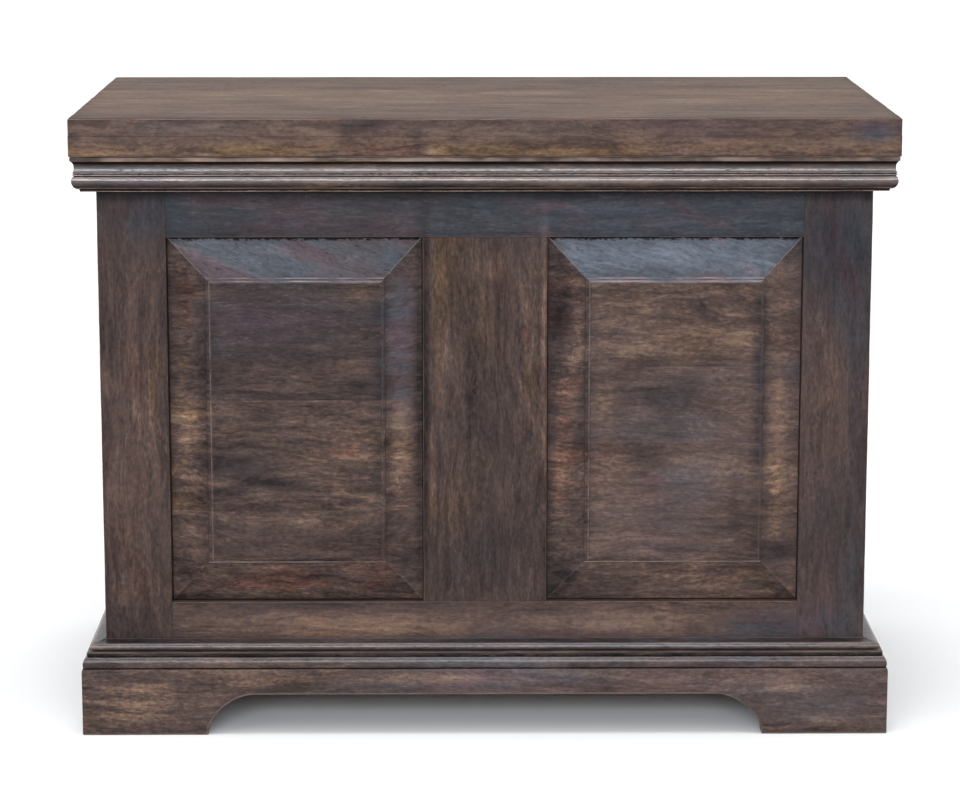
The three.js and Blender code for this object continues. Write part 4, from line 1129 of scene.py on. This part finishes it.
_, foot_y, _ = (low(foot) + high(foot)) / 2
_, flange_y, flange_z = (low(flange) + high(flange)) / 2
for way in (-1, 1):
    place = (low(foot)[X] + BRACKET_HOLE, foot_y + way * BRACKET_SPREAD, BRACKET_UNDER)
    fixings["lid"].append((place, (0, 0, -1), *BRACKET_SCREW))
    place = (FLANGE_FACE, flange_y, flange_z + way * FLANGE_SPREAD)
    fixings["carcass"].append((place, (-1, 0, 0), *FLANGE_SCREW))

for body, places in fixings.items():
    screws(f"screws_{body}", body, places)


# ---- floor, light and camera


def backdrop():
    """A pale floor that curves up into a wall a long way behind. Lengths in metres."""
    reach, radius, far, top = 60.0, 3.0, 9.0, 9.0
    path = [(-reach, 0.0), (far - radius, 0.0)]
    path += [(far - radius + radius * math.sin(a), radius * (1 - math.cos(a)))
             for a in np.linspace(0, math.pi / 2, 13)[1:]]
    path.append((far, top))
    points = np.array([(x, y, z) for y, z in path for x in (-reach, reach)])
    faces = [(2 * i, 2 * i + 1, 2 * i + 3, 2 * i + 2) for i in range(len(path) - 1)]
    mesh = new_mesh("studio_floor", points / MM, faces)
    mesh.polygons.foreach_set("use_smooth", np.ones(len(faces), bool))
    t = Nodes(bpy.data.materials.new("studio_floor"))
    t.fill(t.tree.nodes["Principled BSDF"], Base_Color=(0.93, 0.93, 0.93, 1), Roughness=0.8,
           Specular_IOR_Level=0.2)
    mesh.materials.append(t.owner)
    new_object("studio_floor", mesh)


def area_light(name, place, target, size, power, colour):
    """A rectangular lamp at a place, aimed at a target, in metres and watts."""
    light = bpy.data.lights.new(name, "AREA")
    light.shape = "RECTANGLE"
    light.size, light.size_y = size
    light.energy = power
    light.color = colour
    lamp = new_object(name, light)
    lamp.location = place
    lamp.rotation_euler = (Vector(target) - Vector(place)).to_track_quat("-Z", "Y").to_euler()
    lamp.visible_camera = False


backdrop()
area_light("key", (-0.4, -4.3, 1.6), (0, 0, 0.5), (3.2, 0.9), 128, (0.84, 0.92, 1.0))
area_light("top", (0.0, -0.5, 3.0), (0, 0, 0.5), (3.6, 0.8), 42, (0.97, 0.97, 1.0))
area_light("left", (-3.0, -2.2, 1.8), (0, 0, 0.35), (2.0, 2.0), 18, (1.0, 0.96, 0.9))
area_light("wall", (0.0, 5.0, 5.5), (0, 9, 1.2), (9.0, 2.0), 180, (1.0, 1.0, 1.0))

# The sky is brighter overhead than at the horizon.
world = bpy.data.worlds.new("studio")
sky = Nodes(world)
direction = sky.node("TexCoord").outputs["Generated"]
upward = sky.node("SeparateXYZ", direction).outputs[2]
sky.fill(sky.tree.nodes["Background"], Color=(1.0, 1.0, 1.0, 1),
         Strength=sky.ranged(upward, 0.15, 0.9, 0.3, 1.05))
bpy.context.scene.world = world
bpy.context.scene.view_settings.view_transform = "Standard"

# How far the camera is in front of the lid, above the floor and to the left, and where it looks.
CAMERA_BACK, CAMERA_UP, CAMERA_LEFT = 3495, 1057, 32
CAMERA_DOWN, CAMERA_PAN = math.radians(10.86), math.radians(-0.43)
camera = new_object("camera", bpy.data.cameras.new("camera"))
camera.data.sensor_width = 36
camera.data.lens = 120.15
camera.location = (-CAMERA_LEFT * MM, cad_box[0][Y] - CAMERA_BACK * MM, CAMERA_UP * MM)
camera.rotation_euler = (math.pi / 2 - CAMERA_DOWN, 0, CAMERA_PAN)
bpy.context.scene.camera = camera
